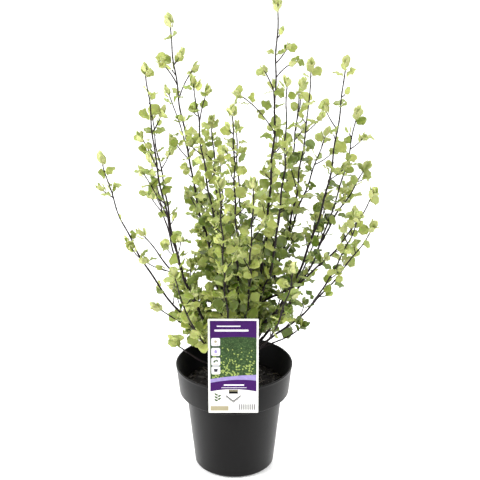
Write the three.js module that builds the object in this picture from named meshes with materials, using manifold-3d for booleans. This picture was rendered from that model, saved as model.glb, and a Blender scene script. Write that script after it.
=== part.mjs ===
// A young small-leaved evergreen shrub in a round plastic nursery pot, with a plant label
// hooked over the rim. Millimetres, +Z up, origin at the centre of the pot's flat underside.
// The label hangs at the front, which faces -Y.

import * as THREE from "three";
import { mergeVertices } from "three/addons/utils/BufferGeometryUtils.js";
import Module from "manifold-3d";

const wasm = await Module();
wasm.setup();

// Clearance between pieces that touch on the real plant
const GAP = 0.3;

// Pot
const POT_HEIGHT = 190;
const POT_RIM_RADIUS = 100;
const POT_FOOT_RADIUS = 68;
const POT_WALL = 2.2;
const POT_FLOOR = 2.6;
const POT_SIDES = 40;
const BAND_HEIGHT = 51;
const BAND_TAPER = 5.5;
const LEDGE_DEPTH = 12;
const LEDGE_RISE = 3;
const FOOT_ROUNDING = 4;
const FLOOR_FILLET = 1;
const RIM_ROUNDING = 0.7;

// Potting mix
const SOIL_TOP = 148;
const SOIL_SIDES = 24;
const SOIL_EDGE_DROP = 5;
const SOIL_MOUND = 1.5;
const SOIL_MOUND_RADIUS = 38;
const SOIL_DIP_RADIUS = 72;
const SOIL_FLAT_RADIUS = 17.5;

// Label
const LABEL_WIDTH = 83;
const LABEL_TOP = 320;
const LABEL_FOOT = 147;
const LABEL_THICKNESS = 0.6;
const LABEL_CORNER = 2.5;
const LABEL_SHIFT = -1;
const SLOT_WIDTH = 15;
const SLOT_FOOT = 182.5;
const CHEVRON_WIDTH = 25;
const CHEVRON_TOP = 178;
const CHEVRON_POINT = 167;
const CHEVRON_CUT = 0.9;
const CHEVRON_CROTCH = 1.35;
const HOOK_WIDTH = 13;
const HOOK_DROP = 25;
const HOOK_LEAN = 3.6;

// Trunk
const TRUNK_TOP = 330;
const TRUNK_LEAN = 40;
const TRUNK_BEND = 1.35;
const TRUNK_FOOT_RADIUS = 8;
const TRUNK_TOP_RADIUS = 4;
const FLARE_RADIUS = 5;
const FLARE_SHARE = 0.14;
const TRUNK_SIDES = 10;
const TRUNK_RINGS = [0, 0.03, 0.08, 0.16, 0.4, 0.7, 1];

// Boughs and the wands of foliage that carry them on
const LIMB_LIFT = 0.25;
const LIMB_TIP_RADIUS = 0.8;
const LIMB_FOOT_RADIUS = 1.5;
const LIMB_GROWTH = 0.0025;
const BOUGH_LENGTH = 84;
const BOUGH_SIDES = 5;
const BOUGH_STEPS = 3;
const WAND_SIDES = 3;
const WAND_STEPS = 6;
const FORK_STEPS = 4;
const FORK_SPREAD = 0.35;
const FORK_FOLLOW = 0.18;

// Side twigs
const TWIG_EVERY = 105;
const TWIG_LAST = 0.9;
const TWIG_LONG = 74;
const TWIG_SHORT = 32;
const TWIG_ANGLE = 0.8;
const TWIG_UPTURN = 0.45;
const TWIG_RADIUS = 1;
const TWIG_TIP_RADIUS = 0.6;
const TWIG_SIDES = 3;
const TWIG_STEPS = 2;
const TWIG_UNEVEN = 0.5;

// Leaves: fewer and larger than life
const LEAF_LENGTH = 34;
const LEAF_WIDTH = 26;
const LEAF_THICKNESS = 2;
const LEAF_DROOP = 2;
const LEAF_SHIFT = 0.1;
const LEAF_ANGLE = 1;
const LEAF_EVERY = 46;
const LEAF_LAST = 0.93;
const LEAF_UNEVEN = 0.3;
const STATION_UNEVEN = 0.6;
const TURN_UNEVEN = 0.9;
const FIRST_GROWTH = 14;
const FORK_FIRST = 0.15;
const TWIG_FIRST_LEAF = 0.4;
const SHOOT_LEAF = 0.75;
const SHOOT_SPREAD = 0.42;
const SHOOT_COUNT = 2;
const SHOOT_ROOT = 0.85;
const SHOOT_WOOD = 0.7;
const GOLDEN_TURN = 2.39996;

// Room between masses
const LEAF_CLEARANCE = 1.6;
const RIM_CLEARANCE = 3;
const STEM_CLEARANCE = 1;
const WAND_RODS = 16;
const FORK_RODS = 6;
const TWIG_RODS = 3;
const TRUNK_RODS = 4;
const LABEL_RODS = 5;
const TWIG_ROOT = 0.1;

// Merging, simplifying and parallel tests
const MERGE_DISTANCE = 1e-4;
const SIMPLE_WITHIN = 0.01;
const NEARLY_ZERO = 1e-6;
const SEED = 1207;

// Every wand: the tip's place, the height of its foot on the trunk, and how far it bows out.
// A low spray springs straight from the trunk, with no bough.
const WANDS = [
  { name: "far_left", tip: [-220, 18, 564], foot: 205, bow: 0.75 },
  { name: "left", tip: [-137, -50, 733], foot: 190, bow: 0.85 },
  { name: "tall_left", tip: [-104, 24, 792], foot: 239, bow: 0.65 },
  { name: "front_left_inner", tip: [-64, -60, 717], foot: 246, bow: 0.55 },
  { name: "back_left_inner", tip: [-36, 72, 610], foot: 286, bow: 1 },
  { name: "front", tip: [-2, -100, 682], foot: 228, bow: 0.45 },
  { name: "back", tip: [3, 112, 588], foot: 268, bow: 0.45 },
  { name: "front_outer", tip: [-21, -150, 581], foot: 187, bow: 0.75 },
  { name: "back_left", tip: [-63, 140, 487], foot: 212, bow: 0.8 },
  { name: "leader", tip: [69, 0, 825], foot: TRUNK_TOP, bow: 0.9 },
  { name: "front_right_inner", tip: [83, -70, 720], foot: 262, bow: 1 },
  { name: "right_inner", tip: [126, 42, 716], foot: 238, bow: 0.85 },
  { name: "back_right", tip: [116, 112, 662], foot: 252, bow: 0.6 },
  { name: "tall_right", tip: [176, -12, 734], foot: 222, bow: 0.9 },
  { name: "right", tip: [203, 36, 637], foot: 196, bow: 0.75 },
  { name: "right_front", tip: [228, -52, 529], foot: 300, bow: 0.65 },
  { name: "low_right", tip: [232, -42, 467], foot: 205, bow: 0.55 },
  { name: "front_middle", tip: [31, -140, 578], foot: 242, bow: 0.65 },
  { name: "back_far_left", tip: [-146, 150, 520], foot: 190, bow: 0.75 },
  { name: "back_middle", tip: [-25, 205, 500], foot: 198, bow: 0.8 },
  { name: "back_outer", tip: [75, 190, 570], foot: 224, bow: 0.75 },
  { name: "back_low_right", tip: [165, 150, 440], foot: 206, bow: 0.75 },
  { name: "front_left", tip: [-95, -150, 430], foot: 198, bow: 0.75 },
  { name: "front_right", tip: [95, -165, 445], foot: 204, bow: 0.75 },
  { name: "spray_left", tip: [-139, -6, 303], foot: 222, bow: 0.5, fromTrunk: true },
  { name: "spray_front_left", tip: [-104, -70, 263], foot: 178, bow: 0.5, fromTrunk: true },
  { name: "spray_right", tip: [118, -62, 296], foot: 213, bow: 0.6, fromTrunk: true },
  { name: "spray_back", tip: [8, 132, 305], foot: 184, bow: 0.6, fromTrunk: true },
  { name: "spray_back_right", tip: [98, 100, 312], foot: 186, bow: 0.6, fromTrunk: true },
  { name: "spray_back_left", tip: [-112, 84, 318], foot: 222, bow: 0.6, fromTrunk: true },
];

// Wands that fork off another wand, with the share of its length where they leave it
const FORKS = [
  { from: "left", at: 0.25, tip: [-161, 10, 432] },
  { from: "left", at: 0.4, tip: [-134, 20, 640] },
  { from: "right_inner", at: 0.3, tip: [159, 90, 583] },
  { from: "right", at: 0.5, tip: [227, 60, 533] },
  { from: "low_right", at: 0.45, tip: [203, -90, 502] },
];

// Long side twigs that stand out of the crown's edge
const LONG_TWIGS = [
  { from: "left", at: 0.69, tip: [-152, -45, 621] },
  { from: "left", at: 0.55, tip: [-152, -35, 557] },
  { from: "tall_left", at: 0.8, tip: [-120, 10, 724] },
  { from: "tall_left", at: 0.76, tip: [-57, 35, 711] },
  { from: "leader", at: 0.56, tip: [0, -12, 678] },
  { from: "leader", at: 0.68, tip: [44, 8, 714] },
  { from: "leader", at: 0.74, tip: [101, -8, 728] },
  { from: "front_left_inner", at: 0.82, tip: [-38, -66, 703] },
];

const mix = THREE.MathUtils.lerp;
const up = new THREE.Vector3(0, 0, 1);

// Materials

const material = (color, roughness) => new THREE.MeshStandardMaterial({ color, roughness, metalness: 0 });
const potPlastic = () => material(0x2d2e30, 0.45);
const labelPlastic = () => material(0xe9e6ee, 0.4);
const pottingMix = () => material(0x2a211b, 0.95);
const darkBark = () => material(0x3b2a2e, 0.7);
const foliageGreen = () => material(0x9ab24f, 0.5);

// Solids

function solidFrom(geometry) {
  const bare = geometry.clone();
  bare.deleteAttribute("normal");
  bare.deleteAttribute("uv");
  const merged = mergeVertices(bare, MERGE_DISTANCE);
  const vertProperties = new Float32Array(merged.attributes.position.array);
  const triVerts = new Uint32Array(merged.index.array);
  return new wasm.Manifold(new wasm.Mesh({ numProp: 3, vertProperties, triVerts }));
}

function geometryFrom(solid) {
  const { vertProperties, triVerts } = solid.getMesh();
  const geometry = new THREE.BufferGeometry();
  geometry.setAttribute("position", new THREE.BufferAttribute(vertProperties, 3));
  geometry.setIndex(new THREE.BufferAttribute(triVerts, 1));
  geometry.computeVertexNormals();
  return geometry;
}

// The largest piece alone: loose scraps and sealed hollows are left behind.
function largestPiece(solid) {
  const pieces = solid.simplify(SIMPLE_WITHIN).decompose();
  return pieces.reduce((best, piece) => (piece.volume() > best.volume() ? piece : best));
}

function namedMesh(name, geometry, surface) {
  const mesh = new THREE.Mesh(geometry, surface);
  mesh.name = name;
  return mesh;
}

// Rings of points, closed over both ends by a fan
function skinRings(rings) {
  const sides = rings[0].length;
  const points = rings.flat();
  const faces = [];
  for (let row = 0; row < rings.length - 1; row++) {
    for (let side = 0; side < sides; side++) {
      const a = row * sides + side;
      const b = row * sides + ((side + 1) % sides);
      faces.push(a, b, b + sides, a, b + sides, a + sides);
    }
  }
  const last = (rings.length - 1) * sides;
  for (let side = 1; side < sides - 1; side++) {
    faces.push(0, side + 1, side);
    faces.push(last, last + side, last + side + 1);
  }
  const geometry = new THREE.BufferGeometry().setFromPoints(points);
  geometry.setIndex(faces);
  geometry.computeVertexNormals();
  return geometry;
}

// Pot

// Outer radius of the pot at a height, by its three stretches: tapered wall, ledge and rim band
function potRadius(z) {
  const bandFoot = POT_HEIGHT - BAND_HEIGHT;
  const bandRadius = POT_RIM_RADIUS - BAND_TAPER;
  const wallTop = bandFoot - LEDGE_RISE;
  if (z >= bandFoot) {
    return mix(bandRadius, POT_RIM_RADIUS, (z - bandFoot) / BAND_HEIGHT);
  }
  if (z > wallTop) {
    return mix(bandRadius - LEDGE_DEPTH, bandRadius, (z - wallTop) / LEDGE_RISE);
  }
  return mix(POT_FOOT_RADIUS, bandRadius - LEDGE_DEPTH, z / wallTop);
}

function pot() {
  const bandFoot = POT_HEIGHT - BAND_HEIGHT;
  const wallTop = bandFoot - LEDGE_RISE;
  const heights = [FOOT_ROUNDING, wallTop, bandFoot, POT_HEIGHT - RIM_ROUNDING];
  const outer = heights.map((z) => new THREE.Vector2(potRadius(z), z));
  const inner = heights.slice(1).reverse().map((z) => new THREE.Vector2(potRadius(z) - POT_WALL, z));
  const roundedCorner = FOOT_ROUNDING * (1 - Math.SQRT1_2);
  const profile = [
    new THREE.Vector2(0, 0),
    new THREE.Vector2(POT_FOOT_RADIUS - FOOT_ROUNDING, 0),
    new THREE.Vector2(POT_FOOT_RADIUS - roundedCorner, roundedCorner),
    ...outer,
    new THREE.Vector2(POT_RIM_RADIUS - RIM_ROUNDING, POT_HEIGHT),
    new THREE.Vector2(POT_RIM_RADIUS - POT_WALL + RIM_ROUNDING, POT_HEIGHT),
    ...inner,
    new THREE.Vector2(potRadius(POT_FLOOR) - POT_WALL - FLOOR_FILLET, POT_FLOOR),
    new THREE.Vector2(0, POT_FLOOR),
  ];
  const geometry = new THREE.LatheGeometry(profile, POT_SIDES).rotateX(Math.PI / 2);
  return namedMesh("pot", geometry, potPlastic());
}

function pottingMixFill() {
  const clear = POT_WALL + GAP;
  const bandFoot = POT_HEIGHT - BAND_HEIGHT;
  const wallTop = bandFoot - LEDGE_RISE;
  const foot = POT_FLOOR + GAP;
  const edgeTop = SOIL_TOP - SOIL_EDGE_DROP;
  // A chord of the coarser mix must stay inside a chord of the pot's wall.
  const chord = Math.cos(Math.PI / POT_SIDES);
  const radiusAt = (z) => potRadius(z) * chord - clear;
  const profile = [
    new THREE.Vector2(0, foot),
    new THREE.Vector2(radiusAt(foot) - FLOOR_FILLET, foot),
    new THREE.Vector2(radiusAt(wallTop), wallTop + GAP),
    new THREE.Vector2(radiusAt(bandFoot), bandFoot + GAP),
    new THREE.Vector2(radiusAt(edgeTop), edgeTop),
    new THREE.Vector2(SOIL_DIP_RADIUS, SOIL_TOP - SOIL_MOUND),
    new THREE.Vector2(SOIL_MOUND_RADIUS, SOIL_TOP + SOIL_MOUND),
    new THREE.Vector2(SOIL_FLAT_RADIUS, SOIL_TOP),
    new THREE.Vector2(0, SOIL_TOP),
  ];
  const geometry = new THREE.LatheGeometry(profile, SOIL_SIDES).rotateX(Math.PI / 2);
  return namedMesh("potting_mix", geometry, pottingMix());
}

// Label

function roundedSheet(width, height, corner) {
  const x = width / 2;
  const shape = new THREE.Shape();
  shape.moveTo(-x + corner, 0);
  shape.lineTo(x - corner, 0);
  shape.absarc(x - corner, corner, corner, -Math.PI / 2, 0);
  shape.lineTo(x, height - corner);
  shape.absarc(x - corner, height - corner, corner, 0, Math.PI / 2);
  shape.lineTo(-x + corner, height);
  shape.absarc(-x + corner, height - corner, corner, Math.PI / 2, Math.PI);
  shape.lineTo(-x, corner);
  shape.absarc(-x + corner, corner, corner, Math.PI, Math.PI * 1.5);
  return shape;
}

function outlineHole(points) {
  return new THREE.Path(points.map(([x, z]) => new THREE.Vector2(x, z - LABEL_FOOT)));
}

// The sheet stands against the rim, and its tongue folds back over the rim and down inside.
function label() {
  const back = POT_RIM_RADIUS + GAP;
  const slotTop = POT_HEIGHT + GAP;
  const halfSlot = SLOT_WIDTH / 2;
  const halfChevron = CHEVRON_WIDTH / 2;
  const sheet = roundedSheet(LABEL_WIDTH, LABEL_TOP - LABEL_FOOT, LABEL_CORNER);
  sheet.holes.push(outlineHole([
    [-halfSlot, SLOT_FOOT],
    [halfSlot, SLOT_FOOT],
    [halfSlot, slotTop],
    [-halfSlot, slotTop],
  ]));
  sheet.holes.push(outlineHole([
    [-halfChevron, CHEVRON_TOP],
    [0, CHEVRON_POINT],
    [halfChevron, CHEVRON_TOP],
    [halfChevron - CHEVRON_CUT, CHEVRON_TOP + CHEVRON_CUT],
    [0, CHEVRON_POINT + CHEVRON_CROTCH],
    [-halfChevron + CHEVRON_CUT, CHEVRON_TOP + CHEVRON_CUT],
  ]));
  const thickness = { depth: LABEL_THICKNESS, bevelEnabled: false, curveSegments: 3 };
  const face = new THREE.ExtrudeGeometry(sheet, thickness).rotateX(Math.PI / 2);
  face.translate(0, -back, LABEL_FOOT);

  const inside = POT_RIM_RADIUS - POT_WALL - GAP * 2;
  const hookTop = slotTop + LABEL_THICKNESS;
  const hookFoot = hookTop - HOOK_DROP;
  const profile = new THREE.Shape([
    new THREE.Vector2(back + LABEL_THICKNESS / 2, slotTop),
    new THREE.Vector2(inside, slotTop),
    new THREE.Vector2(inside - HOOK_LEAN, hookFoot),
    new THREE.Vector2(inside - HOOK_LEAN - LABEL_THICKNESS, hookFoot),
    new THREE.Vector2(inside - LABEL_THICKNESS, hookTop),
    new THREE.Vector2(back + LABEL_THICKNESS / 2, hookTop),
  ]);
  const hook = new THREE.ExtrudeGeometry(profile, { depth: HOOK_WIDTH, bevelEnabled: false });
  hook.rotateX(Math.PI / 2).rotateZ(-Math.PI / 2);
  hook.translate(HOOK_WIDTH / 2, 0, 0);
  const solid = solidFrom(face).add(solidFrom(hook));
  const mesh = namedMesh("label", geometryFrom(solid), labelPlastic());
  mesh.position.x = LABEL_SHIFT;
  return mesh;
}

// Trunk

function trunkPoint(z) {
  const share = (z - SOIL_TOP) / (TRUNK_TOP - SOIL_TOP);
  return new THREE.Vector3(TRUNK_LEAN * Math.max(share, 0) ** TRUNK_BEND, 0, z);
}

function trunkRadius(z) {
  const share = (z - SOIL_TOP) / (TRUNK_TOP - SOIL_TOP);
  const flare = FLARE_RADIUS * Math.max(0, 1 - share / FLARE_SHARE) ** 2;
  return mix(TRUNK_FOOT_RADIUS, TRUNK_TOP_RADIUS, share) + flare;
}

// The trunk from its flat cut on the potting mix to its tip, stouter by a margin all round
function trunkGeometry(margin) {
  const foot = SOIL_TOP + GAP;
  const rings = TRUNK_RINGS.map((share) => {
    const z = mix(foot, TRUNK_TOP, share);
    const centre = trunkPoint(z);
    const top = share === 1 ? margin : 0;
    return Array.from({ length: TRUNK_SIDES }, (_, side) => {
      const turn = (side / TRUNK_SIDES) * Math.PI * 2;
      const radius = trunkRadius(z) + margin;
      return new THREE.Vector3(
        centre.x + Math.cos(turn) * radius,
        centre.y + Math.sin(turn) * radius,
        z + top,
      );
    });
  });
  return skinRings(rings);
}

// Limbs: each runs along a curve that lies in one plane, so its rings never twist.

function limbAlong(start, middle, tip, footRadius, tipRadius) {
  const curve = new THREE.QuadraticBezierCurve3(start, middle, tip);
  const across = middle.clone().sub(start).cross(tip.clone().sub(start));
  if (across.lengthSq() < 1) {
    across.crossVectors(tip.clone().sub(start), new THREE.Vector3(0, 1, 0));
  }
  return { curve, across: across.normalize(), footRadius, tipRadius, length: curve.getLength() };
}

function sideways(limb, share, turn) {
  const along = limb.curve.getTangentAt(share);
  const third = limb.across.clone().cross(along);
  return limb.across.clone().multiplyScalar(Math.cos(turn)).addScaledVector(third, Math.sin(turn));
}

function limbGeometry(limb, from, to, steps, sides) {
  const rings = Array.from({ length: steps + 1 }, (_, step) => {
    const share = mix(from, to, step / steps);
    const centre = limb.curve.getPointAt(share);
    const radius = mix(limb.footRadius, limb.tipRadius, share);
    return Array.from({ length: sides }, (_unused, side) => {
      const turn = (side / sides) * -Math.PI * 2;
      return centre.clone().addScaledVector(sideways(limb, share, turn), radius);
    });
  });
  return skinRings(rings);
}

function wandLimb({ tip, foot, bow }) {
  const start = trunkPoint(foot);
  const end = new THREE.Vector3(...tip);
  const middle = start.clone().lerp(end, bow);
  middle.z = mix(start.z, end.z, LIMB_LIFT);
  const limb = limbAlong(start, middle, end, 1, LIMB_TIP_RADIUS);
  limb.footRadius = LIMB_FOOT_RADIUS + LIMB_GROWTH * limb.length;
  return limb;
}

function sideLimb(parent, at, tip, footRadius) {
  const start = parent.curve.getPointAt(at);
  const end = new THREE.Vector3(...tip);
  const reach = end.distanceTo(start);
  const middle = start.clone().lerp(end, FORK_SPREAD);
  middle.addScaledVector(parent.curve.getTangentAt(at), reach * FORK_FOLLOW);
  return limbAlong(start, middle, end, footRadius, LIMB_TIP_RADIUS);
}

// Seeded random numbers from 0 to 1
function randomFrom(seed) {
  let state = seed >>> 0;
  return () => {
    state = (state + 0x6d2b79f5) >>> 0;
    let value = Math.imul(state ^ (state >>> 15), 1 | state);
    value = (value + Math.imul(value ^ (value >>> 7), 61 | value)) ^ value;
    return ((value ^ (value >>> 14)) >>> 0) / 4294967296;
  };
}

// One half, give or take half of a spread
function uneven(draw, spread) {
  return 0.5 + spread * (draw() - 0.5);
}

// The rule for side twigs: they leave a wand at even stations, each turned on by the golden
// angle, shorter towards the tip, and bend upward.
function twigsOf(wand, from, draw) {
  const count = Math.round(((TWIG_LAST - from) * wand.length) / TWIG_EVERY);
  return Array.from({ length: count }, (_, index) => {
    const at = mix(from, TWIG_LAST, (index + uneven(draw, STATION_UNEVEN)) / count);
    const turn = index * GOLDEN_TURN + draw() * TURN_UNEVEN;
    const reach = mix(TWIG_LONG, TWIG_SHORT, at) * (0.5 + uneven(draw, TWIG_UNEVEN));
    const out = wand.curve.getTangentAt(at).multiplyScalar(Math.cos(TWIG_ANGLE));
    out.addScaledVector(sideways(wand, at, turn), Math.sin(TWIG_ANGLE));
    const start = wand.curve.getPointAt(at);
    const middle = start.clone().addScaledVector(out, reach * 0.5);
    const tip = middle.clone().addScaledVector(out.lerp(up, TWIG_UPTURN).normalize(), reach * 0.5);
    return limbAlong(start, middle, tip, TWIG_RADIUS, TWIG_TIP_RADIUS);
  });
}

// A leaf: a flat eight-faced blade. It starts at its root, points along one way and faces
// another.
function leafAt(root, along, facing, scale) {
  const x = along.clone().normalize();
  const y = facing.clone().cross(x).normalize();
  const z = x.clone().cross(y);
  return { root, x, y, z, length: LEAF_LENGTH * scale, width: LEAF_WIDTH * scale };
}

function leafGeometry(leaf) {
  const blade = new THREE.OctahedronGeometry(1);
  const place = blade.attributes.position;
  for (let i = 0; i < place.count; i++) {
    const along = place.getX(i);
    const widest = Math.abs(along) < 0.5;
    const shift = widest ? -LEAF_SHIFT : 0;
    const droop = along > 0.5 ? LEAF_DROOP : 0;
    place.setXYZ(
      i,
      leaf.length * (0.5 + along / 2 + shift),
      (place.getY(i) * leaf.width) / 2,
      (place.getZ(i) * LEAF_THICKNESS) / 2 - droop,
    );
  }
  const basis = new THREE.Matrix4().makeBasis(leaf.x, leaf.y, leaf.z).setPosition(leaf.root);
  return blade.applyMatrix4(basis);
}

// The rule for leaves: singly along a stem by the golden angle, and a small upright cluster
// at its tip.
function leavesOf(stem, from, every, draw) {
  const count = Math.max(1, Math.round(((1 - from) * stem.length) / every));
  const leaves = Array.from({ length: count }, (_, index) => {
    const at = mix(from, LEAF_LAST, (index + uneven(draw, STATION_UNEVEN)) / count);
    const turn = index * GOLDEN_TURN + draw() * TURN_UNEVEN;
    const side = sideways(stem, at, turn);
    const along = stem.curve.getTangentAt(at).multiplyScalar(Math.cos(LEAF_ANGLE));
    along.addScaledVector(side, Math.sin(LEAF_ANGLE));
    const facing = up.clone().addScaledVector(side, draw() - 0.5);
    return leafAt(stem.curve.getPointAt(at), along, facing, 0.5 + uneven(draw, LEAF_UNEVEN));
  });
  const end = 1 - (LEAF_LENGTH * SHOOT_LEAF * SHOOT_ROOT) / stem.length;
  for (let index = 0; index < SHOOT_COUNT; index++) {
    const side = sideways(stem, end, draw() + (index * Math.PI * 2) / SHOOT_COUNT);
    const along = stem.curve.getTangentAt(end).multiplyScalar(Math.cos(SHOOT_SPREAD));
    along.addScaledVector(side, Math.sin(SHOOT_SPREAD));
    leaves.push(leafAt(stem.curve.getPointAt(end), along, side, SHOOT_LEAF));
  }
  return leaves;
}

// Room: every stem and leaf holds its place as a few rods, and a new one that comes too close
// to another mass, a bough, the trunk or the label is skipped.

function limbRods(owner, limb, from, steps) {
  return Array.from({ length: steps }, (_, step) => ({
    owner,
    kind: "stem",
    a: limb.curve.getPointAt(mix(from, 1, step / steps)),
    b: limb.curve.getPointAt(mix(from, 1, (step + 1) / steps)),
    radius: mix(limb.footRadius, limb.tipRadius, mix(from, 1, step / steps)),
  }));
}

function leafRods(owner, leaf) {
  const at = (along, across) => leaf.root.clone()
    .addScaledVector(leaf.x, along * leaf.length)
    .addScaledVector(leaf.y, across * leaf.width);
  const widest = 0.5 - LEAF_SHIFT;
  const rod = (kind, a, b) => ({ owner, kind, a, b, radius: LEAF_CLEARANCE });
  const left = at(widest, 0.5);
  const right = at(widest, -0.5);
  const tip = at(1, 0);
  return [
    rod("root", leaf.root, left),
    rod("root", leaf.root, right),
    rod("blade", at(widest, 0), tip),
    rod("blade", left, right),
    rod("blade", left, tip),
    rod("blade", right, tip),
  ];
}

function labelRods() {
  const pitch = LABEL_WIDTH / (LABEL_RODS - 1);
  const y = -POT_RIM_RADIUS;
  return Array.from({ length: LABEL_RODS }, (_, column) => {
    const x = LABEL_SHIFT - LABEL_WIDTH / 2 + column * pitch;
    const a = new THREE.Vector3(x, y, LABEL_FOOT);
    const b = new THREE.Vector3(x, y, LABEL_TOP);
    return { owner: "label", kind: "sheet", a, b, radius: pitch / 2 };
  });
}

function trunkRods() {
  return Array.from({ length: TRUNK_RODS }, (_, part) => {
    const low = mix(SOIL_TOP, TRUNK_TOP, part / TRUNK_RODS);
    const high = mix(SOIL_TOP, TRUNK_TOP, (part + 1) / TRUNK_RODS);
    const radius = trunkRadius(low);
    return { owner: "trunk", kind: "stem", a: trunkPoint(low), b: trunkPoint(high), radius };
  });
}

// Smallest distance between two rods' centre lines
function rodDistance(p, q) {
  const u = p.b.clone().sub(p.a);
  const v = q.b.clone().sub(q.a);
  const w = p.a.clone().sub(q.a);
  const uu = u.dot(u);
  const uv = u.dot(v);
  const vv = v.dot(v);
  const uw = u.dot(w);
  const vw = v.dot(w);
  const spread = uu * vv - uv * uv;
  const clamp = (value) => Math.min(1, Math.max(0, value));
  let s = spread < NEARLY_ZERO ? 0 : clamp((uv * vw - vv * uw) / spread);
  const t = clamp((uv * s + vw) / vv);
  s = clamp((uv * t - uw) / uu);
  return w.addScaledVector(u, s).addScaledVector(v, -t).length();
}

function hasRoom(rods, taken) {
  const lowest = POT_HEIGHT + RIM_CLEARANCE;
  return rods.every((rod) => {
    if (Math.min(rod.a.z, rod.b.z) < lowest) {
      return false;
    }
    return taken.every((other) => {
      const bothBlades = rod.kind === "blade" && other.kind === "blade";
      if (other.owner === rod.owner && !bothBlades) {
        return true;
      }
      const need = rod.radius + other.radius + STEM_CLEARANCE;
      return rodDistance(rod, other) >= need;
    });
  });
}

// Share of a wand's length where its first twig or leaf may stand
function firstGrowth(mass) {
  return mass.start + FIRST_GROWTH / mass.wand.length;
}

// Grow the whole crown: all wands first, then their twigs, then the leaves of each in turn.
function growCrown() {
  const taken = [...labelRods(), ...trunkRods()];
  const masses = WANDS.map((row, index) => {
    const wand = wandLimb(row);
    const start = row.fromTrunk ? 0 : BOUGH_LENGTH / wand.length;
    const draw = randomFrom(SEED + index);
    taken.push(...limbRods(row.name, wand, 0, WAND_RODS));
    return { ...row, wand, start, draw, stems: [], leaves: [] };
  });
  const massNamed = (name) => masses.find((mass) => mass.name === name);
  for (const { from, at, tip } of FORKS) {
    const mass = massNamed(from);
    const foot = mix(mass.wand.footRadius, LIMB_TIP_RADIUS, at);
    const fork = sideLimb(mass.wand, at, tip, foot);
    taken.push(...limbRods(from, fork, 0, FORK_RODS));
    mass.stems.push({ limb: fork, forked: true });
  }
  for (const { from, at, tip } of LONG_TWIGS) {
    const mass = massNamed(from);
    const twig = sideLimb(mass.wand, at, tip, TWIG_RADIUS);
    taken.push(...limbRods(from, twig, 0, TWIG_RODS));
    mass.stems.push({ limb: twig, forked: false });
  }
  for (const mass of masses) {
    const forks = mass.stems.filter((stem) => stem.forked).map((stem) => stem.limb);
    for (const wand of [mass.wand, ...forks]) {
      const from = wand === mass.wand ? firstGrowth(mass) : FORK_FIRST;
      for (const twig of twigsOf(wand, from, mass.draw)) {
        const rods = limbRods(mass.name, twig, TWIG_ROOT, TWIG_RODS);
        if (hasRoom(rods, taken)) {
          taken.push(...rods);
          mass.stems.push({ limb: twig, forked: false });
        }
      }
    }
  }
  for (const mass of masses) {
    const groups = [leavesOf(mass.wand, firstGrowth(mass), LEAF_EVERY, mass.draw)];
    for (const { limb, forked } of mass.stems) {
      groups.push(leavesOf(limb, forked ? FORK_FIRST : TWIG_FIRST_LEAF, LEAF_EVERY, mass.draw));
    }
    for (const leaf of groups.flat()) {
      const rods = leafRods(mass.name, leaf);
      if (hasRoom(rods, taken)) {
        taken.push(...rods);
        mass.leaves.push(leaf);
      }
    }
  }
  return masses;
}

const trunkRoom = solidFrom(trunkGeometry(GAP));

function bough(mass) {
  const limb = solidFrom(limbGeometry(mass.wand, 0, mass.start, BOUGH_STEPS, BOUGH_SIDES));
  const fitted = largestPiece(limb.subtract(trunkRoom));
  return namedMesh(`bough_${mass.name}`, geometryFrom(fitted), darkBark());
}

function foliage(mass) {
  const from = mass.fromTrunk ? 0 : mass.start + GAP / mass.wand.length;
  const woodEnd = (limb) => 1 - (LEAF_LENGTH * SHOOT_LEAF * SHOOT_WOOD) / limb.length;
  const parts = [solidFrom(limbGeometry(mass.wand, from, woodEnd(mass.wand), WAND_STEPS, WAND_SIDES))];
  for (const { limb, forked } of mass.stems) {
    const steps = forked ? FORK_STEPS : TWIG_STEPS;
    const sides = forked ? WAND_SIDES : TWIG_SIDES;
    parts.push(solidFrom(limbGeometry(limb, 0, woodEnd(limb), steps, sides)));
  }
  for (const leaf of mass.leaves) {
    parts.push(solidFrom(leafGeometry(leaf)));
  }
  let solid = wasm.Manifold.union(parts);
  if (mass.fromTrunk) {
    solid = solid.subtract(trunkRoom);
  }
  return namedMesh(`foliage_${mass.name}`, geometryFrom(largestPiece(solid)), foliageGreen());
}

const plant = new THREE.Group();
const container = new THREE.Group();
container.add(pot(), pottingMixFill(), label());
plant.add(container, namedMesh("trunk", trunkGeometry(0), darkBark()));
for (const mass of growCrown()) {
  if (!mass.fromTrunk) {
    plant.add(bough(mass));
  }
  plant.add(foliage(mass));
}

export default plant;
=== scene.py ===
"""A young small-leaved evergreen shrub in a round nursery pot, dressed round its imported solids.

Named values are in millimetres for the shrub and the label, and in metres for all else, as the settings
are. Everything is built in the solids' own frame, in metres: +Z up, the label at the front, facing -Y.
"""

import math
import random
from collections import namedtuple

import bpy
import numpy as np
from bpy.props import FloatProperty, FloatVectorProperty, PointerProperty
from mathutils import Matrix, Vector
from mathutils.geometry import tessellate_polygon


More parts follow.
